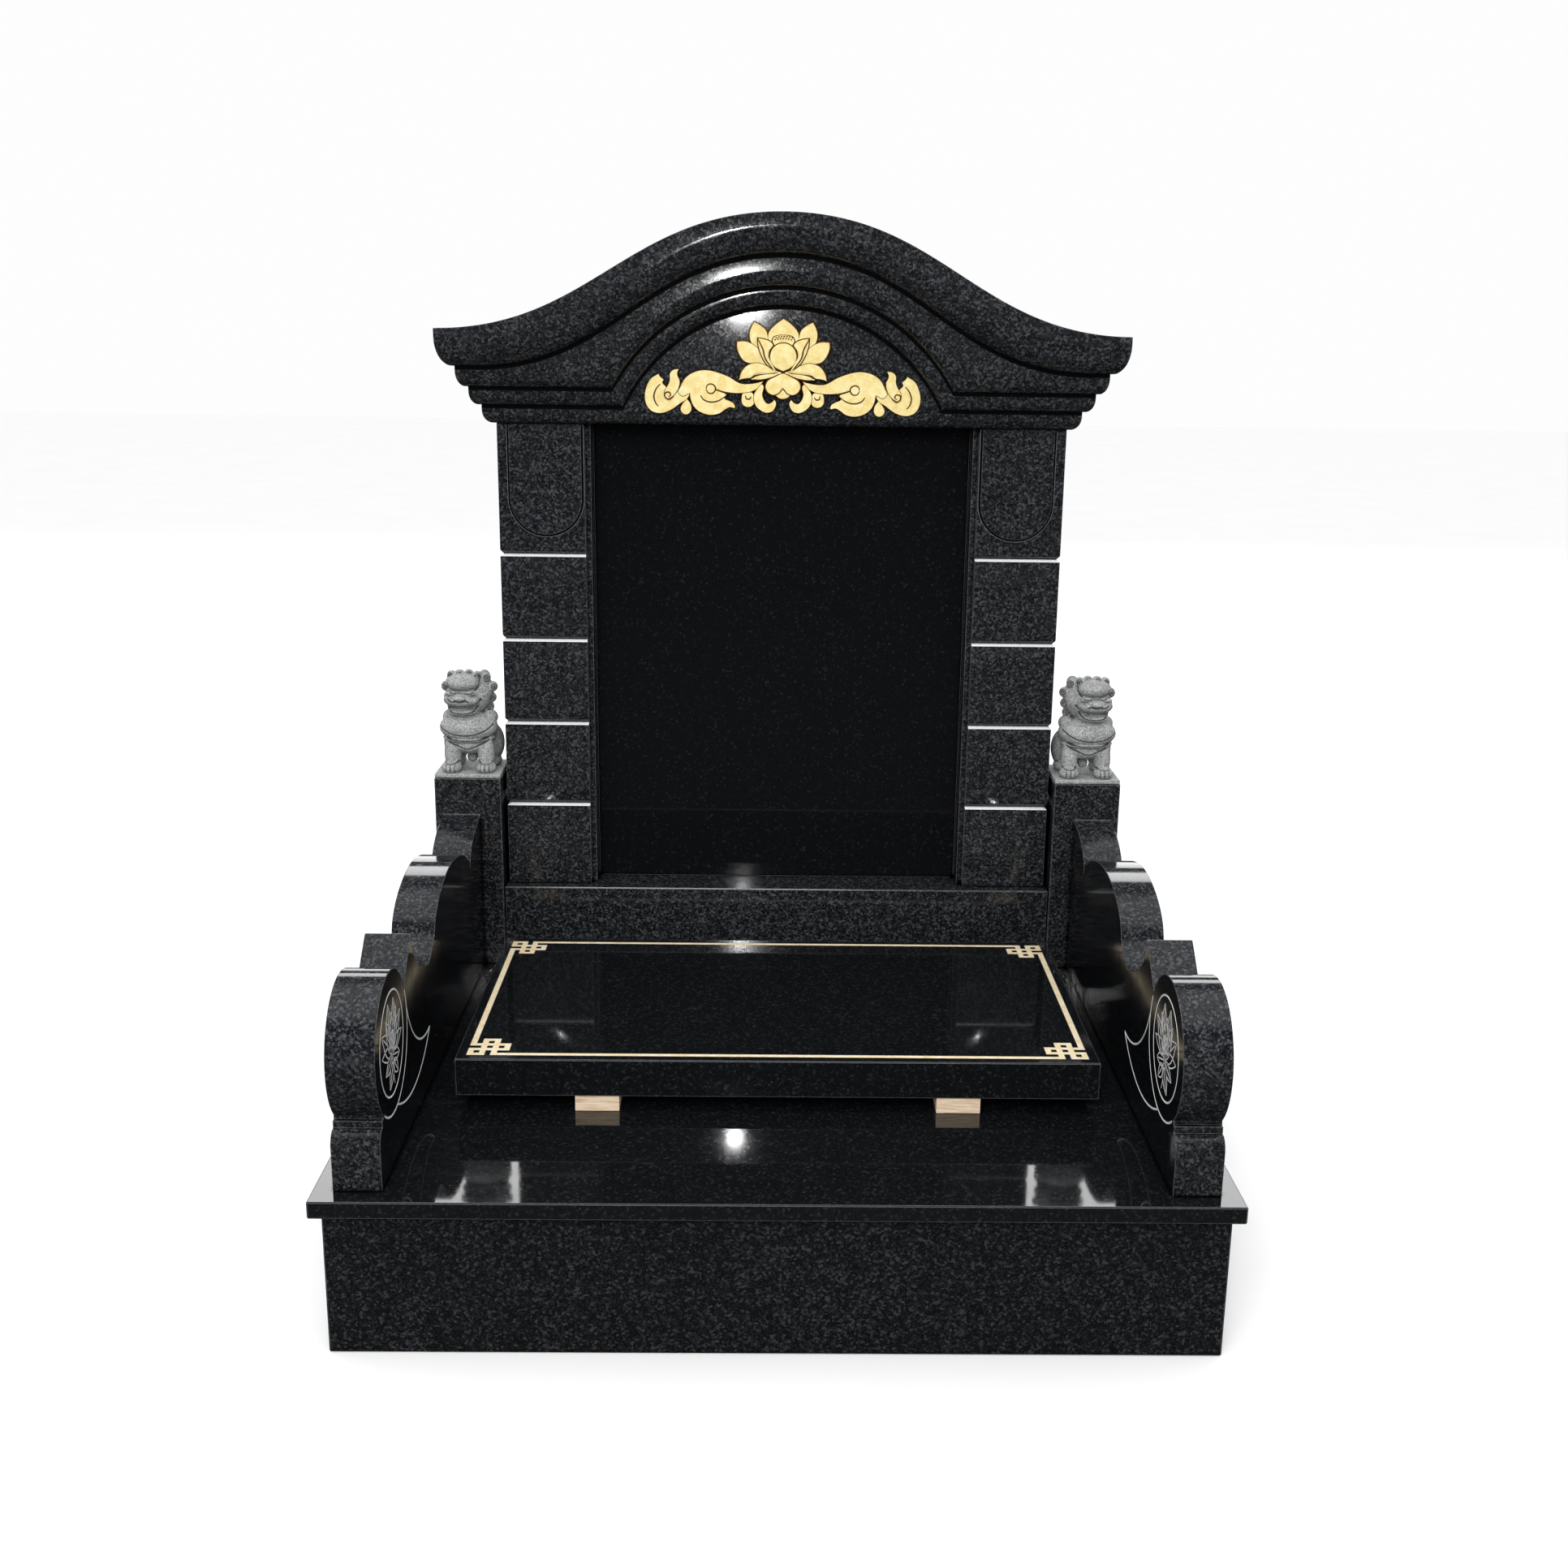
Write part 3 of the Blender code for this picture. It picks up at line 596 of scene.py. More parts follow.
def make_finishes(scene):
    stone, gilding = scene.tomb_stone, scene.tomb_gilding
    for finish, (name, *values) in GRANITES.items():
        FINISHES[finish] = black_granite(name, stone, *values)
    FINISHES["etched"] = etched_stone_and_ledge_highlight("granite_etched")
    # The pale stone of the pillars' ledges is a painted highlight
    FINISHES["ledge"] = etched_stone_and_ledge_highlight("granite_ledge")
    FINISHES["shadow"] = painted_line("granite_shadow", (0.0012, 0.0012, 0.0014))
    FINISHES["lion"] = lion_granite("granite_grey", stone)
    FINISHES["gold"] = gold_leaf("gold_leaf", gilding.leaf)
    FINISHES["line"] = painted_line("gold_groove", gilding.line)
    FINISHES["border"] = gold_leaf("gold_border", gilding.border)
    FINISHES["wood"] = sawn_wood("wood_sawn")


def dress(name, finish):
    """Give a packed stone its finish."""
    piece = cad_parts[name]
    piece.data.materials.clear()
    piece.data.materials.append(FINISHES[finish])


# ---------------------------------------------------------------- stones

class PlainStones(Operator):
    """Polish the plain stones and the wooden blocks"""
    bl_idname = "tomb.plain_stones"
    bl_label = "Plain Stones"

    def execute(self, context):
        make_finishes(context.scene)
        dress("plinth", "plinth")
        dress("platform_slab", "broad")
        dress("stele_base", "coarse")
        dress("inscription_panel", "mirror")
        dress("cover_slab", "broad")
        for side in ("left", "right"):
            dress("post_" + side, "coarse")
            dress("wood_block_front_" + side, "wood")
            dress("wood_block_back_" + side, "wood")
        return {"FINISHED"}


def ogee(share):
    """Height share of the wave-shaped eave, 1 at the middle and 0 at the tips."""
    share = min(abs(share), 1.0)
    eased = share - 0.024 * math.sin(math.tau * share)
    return (1 + math.cos(math.pi * eased)) / 2


def arch_height(x, half_width, rise):
    if abs(x) >= half_width:
        return 0.0
    radius = (half_width ** 2 + rise ** 2) / (2 * rise)
    return math.sqrt(radius ** 2 - x ** 2) - (radius - rise)


# The eave's wave, the edge and crest of the roof's top, and how far a layer reaches into the next
EAVE_RISE, EAVE_HALF, EDGE_HEIGHT, CREST_RISE, LAP = 0.221, 0.610, 0.072, 0.226, 0.018
# Half width and rise of the arches in the second and third layers
ARCHES = ((0.342, 0.201), (0.322, 0.200))


def soffit(roof, layer, x):
    """Height above the pillars of a roof layer's lower edge."""
    if layer == 0:
        return roof.levels[0] + EAVE_RISE * ogee(x / EAVE_HALF)
    if layer < 3:
        return roof.levels[layer] + arch_height(x, *ARCHES[layer - 1])
    return roof.levels[layer]


def roof_layer(roof, layer):
    """One layer of the roof: its front drawn on a grid, turned round to the back and bridged."""
    half = PILLAR_HIGH.x + roof.overhangs[layer]
    below = roof.overhangs[layer + 1] if layer < 3 else 0.0
    width, height = roof.overhangs[layer] - below - roof.quirk, roof.ovolos[layer]
    limit = half - width - 0.003
    count = roof.stations
    stations = [-half, *(limit * (2 * i / count - 1) for i in range(count + 1)), half]
    for corner in [arch[0] for arch in ARCHES if arch[0] < limit]:
        for side in (-1, 1):
            nearest = min(range(len(stations)), key=lambda i: abs(stations[i] - side * corner))
            stations[nearest] = side * corner
    rows = []
    for k in range(roof.curve_steps + 1):
        angle = math.pi / 2 * k / roof.curve_steps
        rows.append((height * (1 - math.cos(angle)), width * (1 - math.sin(angle))))
    front, back = PILLAR_FRONT - roof.overhangs[layer], ROOF_HIGH.y
    back -= roof.overhangs[0] - roof.overhangs[layer]

    def place(i, j, y, inward):
        if j > roof.curve_steps:
            x, above = stations[i], j - roof.curve_steps - 1
            if layer:
                top = soffit(roof, layer - 1, x) + (LAP if above else -roof.shade_line)
            else:
                top = EDGE_HEIGHT + CREST_RISE * ogee(x / half) + roof.levels[0] - 0.004 * (1 - above)
            return (x, y, PILLAR_TOP + top)
        rise, inset = rows[j]
        x = max(-half + inset, min(half - inset, stations[i]))
        return (x, y + inward * inset, PILLAR_TOP + soffit(roof, layer, stations[i]) + rise)

    faces = [
        sheet("roof_layer", len(stations) - 1, roof.curve_steps + 2,
              lambda i, j, y=y, inward=inward: place(i, j, y, inward),
              FINISHES["coarse"], FINISHES["shadow"])
        for y, inward in ((front, 1), (back, -1))]
    layer_piece = join(faces, "roof_layer")
    activate(layer_piece)
    bpy.ops.object.mode_set(mode="EDIT")
    bpy.ops.mesh.select_all(action="DESELECT")
    bpy.ops.mesh.select_mode(type="EDGE")
    bpy.ops.mesh.select_non_manifold(extend=False)
    bpy.ops.mesh.bridge_edge_loops()
    bpy.ops.object.mode_set(mode="OBJECT")
    face_outwards(layer_piece)
    # Painted shadow: the faces of the band just under the layer above take the near-black shadow paint
    for face in layer_piece.data.polygons:
        x, y, z = face.center
        if layer and z > PILLAR_TOP + soffit(roof, layer - 1, x) - roof.shade_line + 0.0002:
            face.material_index = 1
    return layer_piece


class RoofStone(Operator):
    """Model the wave-shaped roof with its rounded layers"""
    bl_idname = "tomb.roof_stone"
    bl_label = "Roof"

    def execute(self, context):
        roof = context.scene.tomb_roof
        stone = roof_layer(roof, 0)
        ease_edges(stone, context.scene.tomb_stone.arris, 50)
        for layer in range(1, 4):
            merge(stone, roof_layer(roof, layer))
        stone.name = stone.data.name = "roof_stone"
        polish_shading(stone)
        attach(stone, "root")
        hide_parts("roof")
        return {"FINISHED"}


# The lotus and the scrolls are drawn on a grid: its steps across and down in metres, the flower's
# middle line and the line of the pillars' top
ACROSS, DOWN, MIDDLE, BOTTOM = 0.000416, 0.000404, 797, 610.6


def on_front(points):
    """Grid points as places on the roof's face."""
    return [((p[0] - MIDDLE) * ACROSS, PILLAR_TOP + (BOTTOM - p[1]) * DOWN, *p[2:]) for p in points]


def other_side(points):
    """Grid points mirrored at the flower's middle line."""
    return [(2 * MIDDLE - p[0], *p[1:]) for p in points]


CROWN_PETAL = (
    (797, 82, 1), (833, 106), (867, 142), (876, 176), (862, 225), (797, 300, 1), (732, 225), (718, 176),
    (727, 142), (761, 106))
SEED_POD = (
    (740, 196), (747, 173), (768, 163), (797, 160), (826, 163), (847, 173), (854, 196), (835, 225),
    (797, 240), (759, 225))
BUD = (
    (797, 199), (828, 206), (853, 228), (865, 262), (860, 296), (838, 324), (797, 344, 1), (756, 324),
    (734, 296), (729, 262), (741, 228), (766, 206))
HEART = (
    (797, 345), (838, 362), (874, 384), (886, 415), (873, 445), (844, 459), (815, 449), (797, 426, 1),
    (779, 449), (750, 459), (721, 445), (708, 415), (720, 384), (756, 362))
ROOT_PETAL = ((797, 478), (822, 471), (842, 448), (820, 425), (774, 425), (752, 448), (772, 471))
SIDE_PETALS = (
    (3.4, 1.0, ((655, 97, 1), (690, 116), (718, 143), (728, 182), (745, 240), (765, 322, 1), (690, 262),
                (640, 208), (629, 165), (637, 128))),
    (4.2, 1.0, ((571, 195, 1), (612, 192), (650, 205), (682, 230), (722, 280), (760, 338, 1), (690, 312),
                (625, 304), (597, 287), (577, 254), (569, 222))),
    (5.2, 1.0, ((581, 388, 1), (588, 352), (610, 318), (645, 299), (686, 297), (738, 318), (792, 346, 1),
                (730, 356), (665, 363), (641, 377), (612, 381))),
    (5.8, 0.5, ((640, 381, 1), (662, 362), (705, 351), (755, 346), (793, 344, 1), (766, 363), (730, 377),
                (690, 385), (660, 385))),
    (6.6, 0.9, ((669, 176, 1), (702, 180), (735, 192), (752, 214), (735, 240), (731, 272), (741, 306),
                (764, 341, 1), (724, 319), (700, 290), (681, 250), (671, 212))),
)
SIDE_FOLD = ((672, 181), (698, 232), (711, 280), (750, 333))
SCROLL = (
    (2.6, ((196, 356, 1), (204, 371), (221, 386), (216, 403), (238, 425), (262, 448), (290, 430), (318, 384),
           (344, 440), (346, 458), (330, 484), (300, 503), (262, 531), (222, 549), (184, 551), (152, 536),
           (132, 506), (126, 463), (136, 418), (158, 380))),
    (3.0, ((332, 476, 1), (350, 500), (356, 527), (346, 549), (328, 557), (309, 550), (299, 529),
           (308, 504))),
    (3.0, ((600, 450), (595, 488), (608, 511), (634, 517), (656, 504), (661, 475), (652, 446), (625, 440))),
    (3.8, ((706, 386, 1), (650, 399), (602, 401), (572, 390), (540, 370), (500, 353), (460, 341), (420, 336),
           (380, 342), (345, 358), (318, 383), (304, 412), (288, 446), (312, 468), (345, 452, 1), (349, 482),
           (362, 513), (386, 538), (418, 553), (452, 558), (490, 550), (520, 529), (541, 519), (563, 524, 1),
           (568, 514), (560, 497), (544, 487), (516, 474), (526, 457, 1), (516, 448), (494, 441),
           (475, 431, 1), (505, 441), (550, 449), (600, 449), (645, 441), (680, 420))),
    (4.4, ((298, 333, 1), (288, 352), (290, 369), (299, 388), (297, 415), (285, 444), (262, 470), (236, 481),
           (221, 466), (223, 440), (239, 412), (248, 386), (247, 362), (256, 344), (274, 334))),
    (4.6, ((692, 402), (661, 440), (654, 475), (664, 508), (688, 532), (718, 544), (748, 536), (764, 512),
           (766, 490), (756, 475, 1), (742, 490), (724, 496), (708, 480), (699, 452), (706, 418))),
)
SCROLL_LINES = (
    (2.6, ((203, 408), (183, 432), (172, 466), (179, 498), (194, 516))),
    (4.4, ((268, 466), (246, 482), (226, 470), (228, 451), (245, 447), (254, 460), (243, 470))),
    (3.8, ((398, 461), (414, 482), (446, 493), (486, 486), (522, 461))),
    (3.8, ((425, 428), (432, 410), (450, 405), (467, 415), (470, 434), (456, 450), (436, 448), (425, 430))),
    (3.8, ((470, 432), (500, 441), (534, 450))),
    (3.0, ((616, 458), (620, 474), (636, 476), (644, 464))),
)


def gilded(name, points, relief, dome, rim):
    """One gilded form of the flower or the scrolls, its height above the stone in millimetres."""
    outline = drawn(on_front(points), closed=True, steps=4)
    return petal_plate(
        name, outline, TYMPANUM_FRONT + 0.001, TYMPANUM_FRONT - relief / 1000, rim, dome / 1000,
        FINISHES["gold"], FINISHES["line"])


def grooved(name, points, relief, width=0.0030):
    """A painted groove drawn over a gilded form."""
    line = drawn(on_front(points), steps=4)
    level = TYMPANUM_FRONT - relief / 1000 + 0.0003
    return strip(
        name, line, tapered(width, len(line), 0.35, 0.12), "XZ", level, 0.0005, FINISHES["line"])


class LotusRelief(Operator):
    """Carve and gild the lotus in the roof's tympanum"""
    bl_idname = "tomb.lotus_relief"
    bl_label = "Lotus"

    def execute(self, context):
        rim = context.scene.tomb_gilding.rim
        parts = [
            gilded("crown_petal", CROWN_PETAL, 3.0, 1.2, rim),
            gilded("root_petal", ROOT_PETAL, 4.4, 0.6, rim),
            gilded("seed_pod", SEED_POD, 4.6, 0.4, rim),
            gilded("bud", BUD, 7.4, 2.0, rim),
            gilded("heart", HEART, 6.2, 0.5, rim),
        ]
        for placed in (list, other_side):
            for relief, dome, points in SIDE_PETALS:
                parts.append(gilded("petal", placed(points), relief, dome, rim))
            parts.append(grooved("fold", placed(SIDE_FOLD), 7.5))
        for i in range(7):
            for row in range(2):
                x, y = 757 + 13 * i + 5 * row, 183 - 10 * row + 0.676 * (i - 3) ** 2
                parts.append(grooved("seed", ((x - 3, y), (x, y - 2), (x + 3, y)), 5.0))
        lotus = join(parts, "roof_lotus")
        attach(lotus, "root")
        return {"FINISHED"}


class CloudScrolls(Operator):
    """Carve and gild the two cloud scrolls beside the lotus"""
    bl_idname = "tomb.cloud_scrolls"
    bl_label = "Cloud Scrolls"

    def execute(self, context):
        rim = 0.5 * context.scene.tomb_gilding.rim
        parts = [gilded("scroll", points, relief, 0.0, rim) for relief, points in SCROLL]
        parts += [grooved("scroll_line", points, relief) for relief, points in SCROLL_LINES]
        left = join(parts, "roof_scroll_left")
        right = mirrored(left, "roof_scroll_right")
        for scroll in (left, right):
            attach(scroll, "root")
        return {"FINISHED"}


class Pillars(Operator):
    """Model the pillars with their courses, inner strips and round tablets"""
    bl_idname = "tomb.pillars"
    bl_label = "Pillars"

    def execute(self, context):
        arris = context.scene.tomb_stone.arris
        outer, inner, strip_width, groove = PILLAR_HIGH.x, PILLAR_LOW.x, 0.012, 0.007
        base, top, back = PILLAR_LOW.z, PILLAR_HIGH.z, PILLAR_HIGH.y
        cap_height, tablet_height, setback, gap = 0.267, 0.226, 0.012, 0.002
        body_inner = inner + strip_width
        pillar = stone_block(
            "pillar", (body_inner, PILLAR_FRONT, base), (outer, back, top), FINISHES["coarse"])
        course = (top - base - cap_height) / 4
        levels = []
        for i in range(1, 5):
            level = base + i * course
            levels += [level - 0.0045, level, level + 0.0085]
        edit(pillar, *[
            lambda z=z: bpy.ops.mesh.bisect(plane_co=(0, 0, z), plane_no=(0, 0, 1)) for z in levels])
        grooves = levels[1::3]
        middle = (PILLAR_FRONT + back) / 2
        for vertex in pillar.data.vertices:
            if any(abs(vertex.co.z - z) < 1e-5 for z in grooves):
                vertex.co.y += groove if vertex.co.y < middle else -groove
                if vertex.co.x > (outer + body_inner) / 2:
                    vertex.co.x -= groove
        # Painted highlight: the groove faces that turn upwards take the pale stone, standing in for the
        # light caught along the courses
        pillar.data.materials.append(FINISHES["ledge"])
        for face in pillar.data.polygons:
            if face.normal.z > 0.3 and face.center.z < top - 0.01:
                face.material_index = 1
        ease_edges(pillar, 0.7 * arris, 25)
        side_strip = stone_block(
            "strip", (inner, PILLAR_FRONT + setback, base), (body_inner + 0.01, back - setback, top),
            FINISHES["coarse"])
        ease_edges(side_strip, 0.7 * arris)
        merge(pillar, side_strip)
        left, right = inner + 0.018, outer - 0.024
        radius = (right - left) / 2
        centre = (left + radius, top - tablet_height + radius)
        outline = [Vector((left, top)), *circle(centre, radius, 180, 360, 40), Vector((right, top))]
        tablet = plate(
            "tablet", outline, "XZ", PILLAR_FRONT + 0.004, PILLAR_FRONT - TABLET_RELIEF, FINISHES["coarse"])
        ease_edges(tablet, 0.0016)
        merge(pillar, tablet)
        moat = [Vector((left - gap, top - 0.004)), *circle(centre, radius + gap, 180, 360, 40),
                Vector((right + gap, top - 0.004))]
        cutter = strip(
            "moat", moat, [2 * gap] * len(moat), "XZ", PILLAR_FRONT + 0.004, 0.006, FINISHES["shadow"])
        merge(pillar, cutter, "DIFFERENCE")
        polish_shading(pillar)
        pillar.name = pillar.data.name = "coursed_pillar_right"
        pair = {"right": pillar, "left": mirrored(pillar, "coursed_pillar_left")}
        for side, piece in pair.items():
            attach(piece, "root")
            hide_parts("pillar_" + side)
        return {"FINISHED"}


# ---------------------------------------------------------------- side slabs

def drum_centre(slab):
    front = SLAB_LOW.y + slab.drum_bulge
    return Vector((front + slab.drum_radius - slab.drum_bulge, SLAB_LOW.z + slab.drum_height))


def slab_outline(slab):
    """The carved side profile in the YZ plane, from the foot back to the post."""
    front, base, end = SLAB_LOW.y + slab.drum_bulge, SLAB_LOW.z, SLAB_HIGH.y
    neck, step, foot = front + 0.016, 0.007, base + 0.076
    outline = [Vector((end, base)), Vector((front, base)), Vector((front, foot))]
    outline += arc_through((front, foot), (front + 0.0056, foot + 0.0156), (neck, foot + 0.024), 8)[1:]
    outline += [Vector((neck + step, foot + 0.024)), Vector((neck + step, base + 0.112)),
                Vector((neck + 2 * step, base + 0.112))]
    centre = drum_centre(slab)
    below = slab.drum_height - 0.112 - step
    first = 180 + math.degrees(math.asin(below / slab.drum_radius))
    outline += circle(centre, slab.drum_radius, first, 27.6, 72)
    start, height = outline[-1].x, 0.337
    seam, peak, valley = (0.0, 0.785), (0.0945, 0.985), (0.258, 0.668)
    swell, crown, notch, rear = (0.345, 0.795), (0.575, 1.0), (0.826, 0.779), (1.0, 0.994)
    humps = (
        arc_through(seam, (0.052, 0.900), peak, 8), arc_through(peak, (0.160, 0.757), valley, 18),
        arc_through(valley, (0.310, 0.712), swell, 9), arc_through(swell, (0.410, 0.925), crown, 18),
        arc_through(crown, (0.700, 0.955), notch, 21), arc_through(notch, (0.872, 0.918), rear, 18))
    for points in humps:
        outline += [Vector((start + (end - start) * p.x, base + height * p.y)) for p in points[1:]]
    top = outline.pop().y
    return [*outline, Vector((end - slab.seal, top)), Vector((end, top + slab.seal))]


def engraved_lines(slab):
    """Lines cut into the inner face: the drum's rim and its crescent."""
    centre, radius = drum_centre(slab), slab.drum_radius
    tip = centre + Vector((2.50, -0.80)) * radius
    rim = circle(centre, radius - 0.0015, 24, -128, 40)
    upper = arc_through(
        centre + Vector((1.00, 0.10)) * radius, centre + Vector((1.62, -0.62)) * radius, tip, 28)
    lower = arc_through(
        centre + Vector((0.20, -0.985)) * radius, centre + Vector((1.25, -1.22)) * radius, tip, 28)
    return rim, upper, lower


def etched_petal(base, tip, width, veins):
    """A pointed petal's outline and veins, as open lines."""
    base, tip = Vector(base), Vector(tip)
    axis = tip - base
    side = Vector((-axis.y, axis.x)).normalized() * width / 2
    steps = 12
    lines = []
    for share in [-1.0, 1.0, *(2 * (k + 1) / (veins + 1) - 1 for k in range(veins))]:
        reach = 1.0 if abs(share) == 1.0 else 0.86
        lines.append([
            base + axis * reach * i / steps + side * share * math.sin(math.pi * (reach * i / steps) ** 0.8)
            for i in range(steps + 1)
        ])
    return lines


def etched_flower():
    """The lotus in the medallion, in shares of the ring's radius."""
    lines = []
    base = (0.02, -0.22)
    petals = [
        ((-0.20, 0.10), (-0.20, 0.84), 0.34, 1), ((0.22, 0.10), (0.26, 0.80), 0.32, 1),
        (base, (-0.76, 0.42), 0.40, 1), (base, (0.78, 0.38), 0.38, 1),
        (base, (-0.42, 0.58), 0.36, 1), (base, (0.46, 0.56), 0.36, 1), (base, (0.03, 0.60), 0.46, 2),
        ((0.0, -0.16), (-0.82, 0.00), 0.26, 0), ((0.05, -0.16), (0.84, -0.04), 0.26, 0),
        ((0.0, -0.26), (-0.58, -0.44), 0.26, 1), ((0.05, -0.26), (0.60, -0.42), 0.26, 1),
        ((0.05, -0.40), (-0.30, -0.82), 0.30, 1), ((0.12, -0.40), (0.42, -0.74), 0.26, 1),
    ]
    for petal in petals:
        lines += etched_petal(*petal)
    lines.append(drawn(((0.04, -0.22), (0.10, -0.45), (0.05, -0.65), (0.12, -0.86)), steps=6))
    return lines


class SideSlabs(Operator):
    """Model the carved side slabs with their drums and engraved lines"""
    bl_idname = "tomb.side_slabs"
    bl_label = "Side Slabs"

    def execute(self, context):
        slab, arris = context.scene.tomb_slab, context.scene.tomb_stone.arris
        inner, outer = SLAB_LOW.x, SLAB_HIGH.x
        piece = plate(
            "side_slab", slab_outline(slab), "YZ", outer, inner, FINISHES["coarse"], FINISHES["inner"])
        for face in piece.data.polygons:
            if face.normal.x < -0.9:
                face.material_index = 1
        ease_edges(piece, arris)
        centre = drum_centre(slab)
        deselect_all()
        bpy.ops.mesh.primitive_torus_add(
            major_segments=72, minor_segments=8, major_radius=slab.medallion, minor_radius=slab.line / 2,
            location=(inner, *centre), rotation=(0, math.pi / 2, 0))
        ring = named("ring", FINISHES["etched"])
        bpy.ops.object.transform_apply(location=True, rotation=True, scale=True)
        merge(piece, ring, "DIFFERENCE")
        for path in engraved_lines(slab):
            cutter = strip(
                "cutter", path, [slab.line] * len(path), "YZ", inner - 0.002, 0.0032, FINISHES["etched"])
            merge(piece, cutter, "DIFFERENCE")
        polish_shading(piece)
        piece.name = piece.data.name = "side_slab_right"
        pair = {"right": piece, "left": mirrored(piece, "side_slab_left")}
        for side, made in pair.items():
            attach(made, "root")
            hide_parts("balustrade_" + side)
        return {"FINISHED"}


class EtchedLotuses(Operator):
    """Etch the lotus inside the ring of each side slab's drum"""
    bl_idname = "tomb.etched_lotuses"
    bl_label = "Etched Lotuses"

    def execute(self, context):
        slab = context.scene.tomb_slab
        centre, radius = drum_centre(slab), slab.medallion
        face = SLAB_LOW.x
        parts = []
        for line in etched_flower():
            path = [centre + point * radius for point in line]
            widths = tapered(slab.etching, len(path), 0.55)
            parts.append(strip("etching", path, widths, "YZ", face - 0.00015, 0.0003, FINISHES["etched"]))
        right = join(parts, "etched_lotus_right")
        left = mirrored(right, "etched_lotus_left")
        for piece in (left, right):
            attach(piece, "root")
        return {"FINISHED"}


# ---------------------------------------------------------------- lions

LION_FORMS = (
    ((0.00, 0.08, 0.40), (0.25, 0.26, 0.16)), ((-0.01, -0.07, 0.43), (0.29, 0.23, 0.155)),
    ((-0.01, -0.06, 0.325), (0.262, 0.222, 0.042)), ((0.00, -0.02, 0.26), (0.20, 0.22, 0.11)),
    ((0.00, 0.00, 0.76), (0.235, 0.20, 0.21)), ((-0.045, -0.09, 0.885), (0.18, 0.180, 0.092)),
    ((-0.05, -0.175, 0.725), (0.182, 0.150, 0.080)), ((-0.05, -0.155, 0.602), (0.15, 0.135, 0.040)),
    ((-0.05, -0.315, 0.760), (0.060, 0.035, 0.028)), ((0.03, 0.28, 0.44), (0.08, 0.055, 0.17)),
    ((0.03, 0.30, 0.60), (0.055, 0.045, 0.06)), ((0.0, 0.03, 0.10), (0.055, 0.055, 0.055)),
)
LION_PAIRS = (
    ((0.165, -0.13, 0.17), (0.085, 0.095, 0.20)), ((0.17, -0.20, 0.045), (0.100, 0.120, 0.060)),
    ((0.175, 0.16, 0.22), (0.130, 0.150, 0.20)), ((0.18, 0.12, 0.045), (0.100, 0.150, 0.060)),
    ((0.200, -0.02, 0.52), (0.075, 0.085, 0.075)),
)
LION_LINES = (
    (0.014, 0.016, ((-0.19, 0.885), (-0.165, 0.835), (-0.11, 0.805), (-0.04, 0.798), (0.04, 0.803),
                    (0.095, 0.830), (0.118, 0.88), (0.122, 0.95))),
    (0.013, 0.014, ((-0.175, 0.745), (-0.135, 0.722), (-0.09, 0.730), (-0.045, 0.722), (0.0, 0.734),
                    (0.03, 0.722))),
    (0.022, 0.046, ((-0.215, 0.725), (-0.18, 0.690), (-0.13, 0.672), (-0.05, 0.668), (0.04, 0.672),
                    (0.09, 0.688), (0.13, 0.715))),
    (0.013, 0.018, ((-0.20, 0.655), (-0.16, 0.620), (-0.10, 0.600), (-0.04, 0.595), (0.03, 0.600),
                    (0.075, 0.622), (0.10, 0.655))),
    (0.012, 0.016, ((-0.29, 0.455), (-0.22, 0.412), (-0.12, 0.382), (-0.02, 0.374), (0.08, 0.386),
                    (0.18, 0.422), (0.25, 0.475))),
    (0.016, 0.018, ((-0.27, 0.375), (-0.20, 0.342), (-0.10, 0.325), (0.0, 0.322), (0.10, 0.328),
                    (0.20, 0.350), (0.25, 0.380))),
    (0.012, 0.014, ((-0.22, 0.318), (-0.13, 0.272), (-0.05, 0.240), (0.0, 0.230), (0.05, 0.245),
                    (0.13, 0.280), (0.21, 0.322))),
    (0.011, 0.014, ((-0.26, 0.098), (-0.17, 0.090), (-0.09, 0.098))),
    (0.011, 0.014, ((0.09, 0.098), (0.17, 0.090), (0.26, 0.098))),
)


def lion_curls():
    """Middle, size and facing of each curl of the mane, as shares of the lion's height."""
    curls = []
    for side in (-1, 1):
        for i in range(4):
            angle = math.radians(50 - 33 * i)
            reach = 0.215 + 0.020 * (i % 2)
            curls.append(((side * reach * math.cos(angle * 0.8), -0.035 + 0.02 * i,
                           0.77 + 0.20 * math.sin(angle)), 0.054, side))
            curls.append(((side * 0.15 * math.cos(angle * 0.7), 0.15,
                           0.76 + 0.19 * math.sin(angle)), 0.06, side))
    for i in range(4):
        curls.append(((-0.165 + 0.085 * i, -0.05 - 0.02 * (i % 2), 0.945 + 0.012 * (i in (1, 2))), 0.050, 1))
    return curls


def add_form(centre, radii, height, rounds=28):
    deselect_all()
    bpy.ops.mesh.primitive_uv_sphere_add(
        segments=rounds, ring_count=rounds // 2, radius=1,
        location=Vector(centre) * height, scale=Vector(radii) * height)
    form = named("form")
    bpy.ops.object.transform_apply(location=True, rotation=False, scale=True)
    return form


def surface_path(piece, points, towards):
    """Drop drawn points onto a figure's surface along a direction."""
    path = []
    for start in points:
        hit, place = piece.ray_cast(start, towards)[:2]
        if hit:
            path.append(place)
    return path


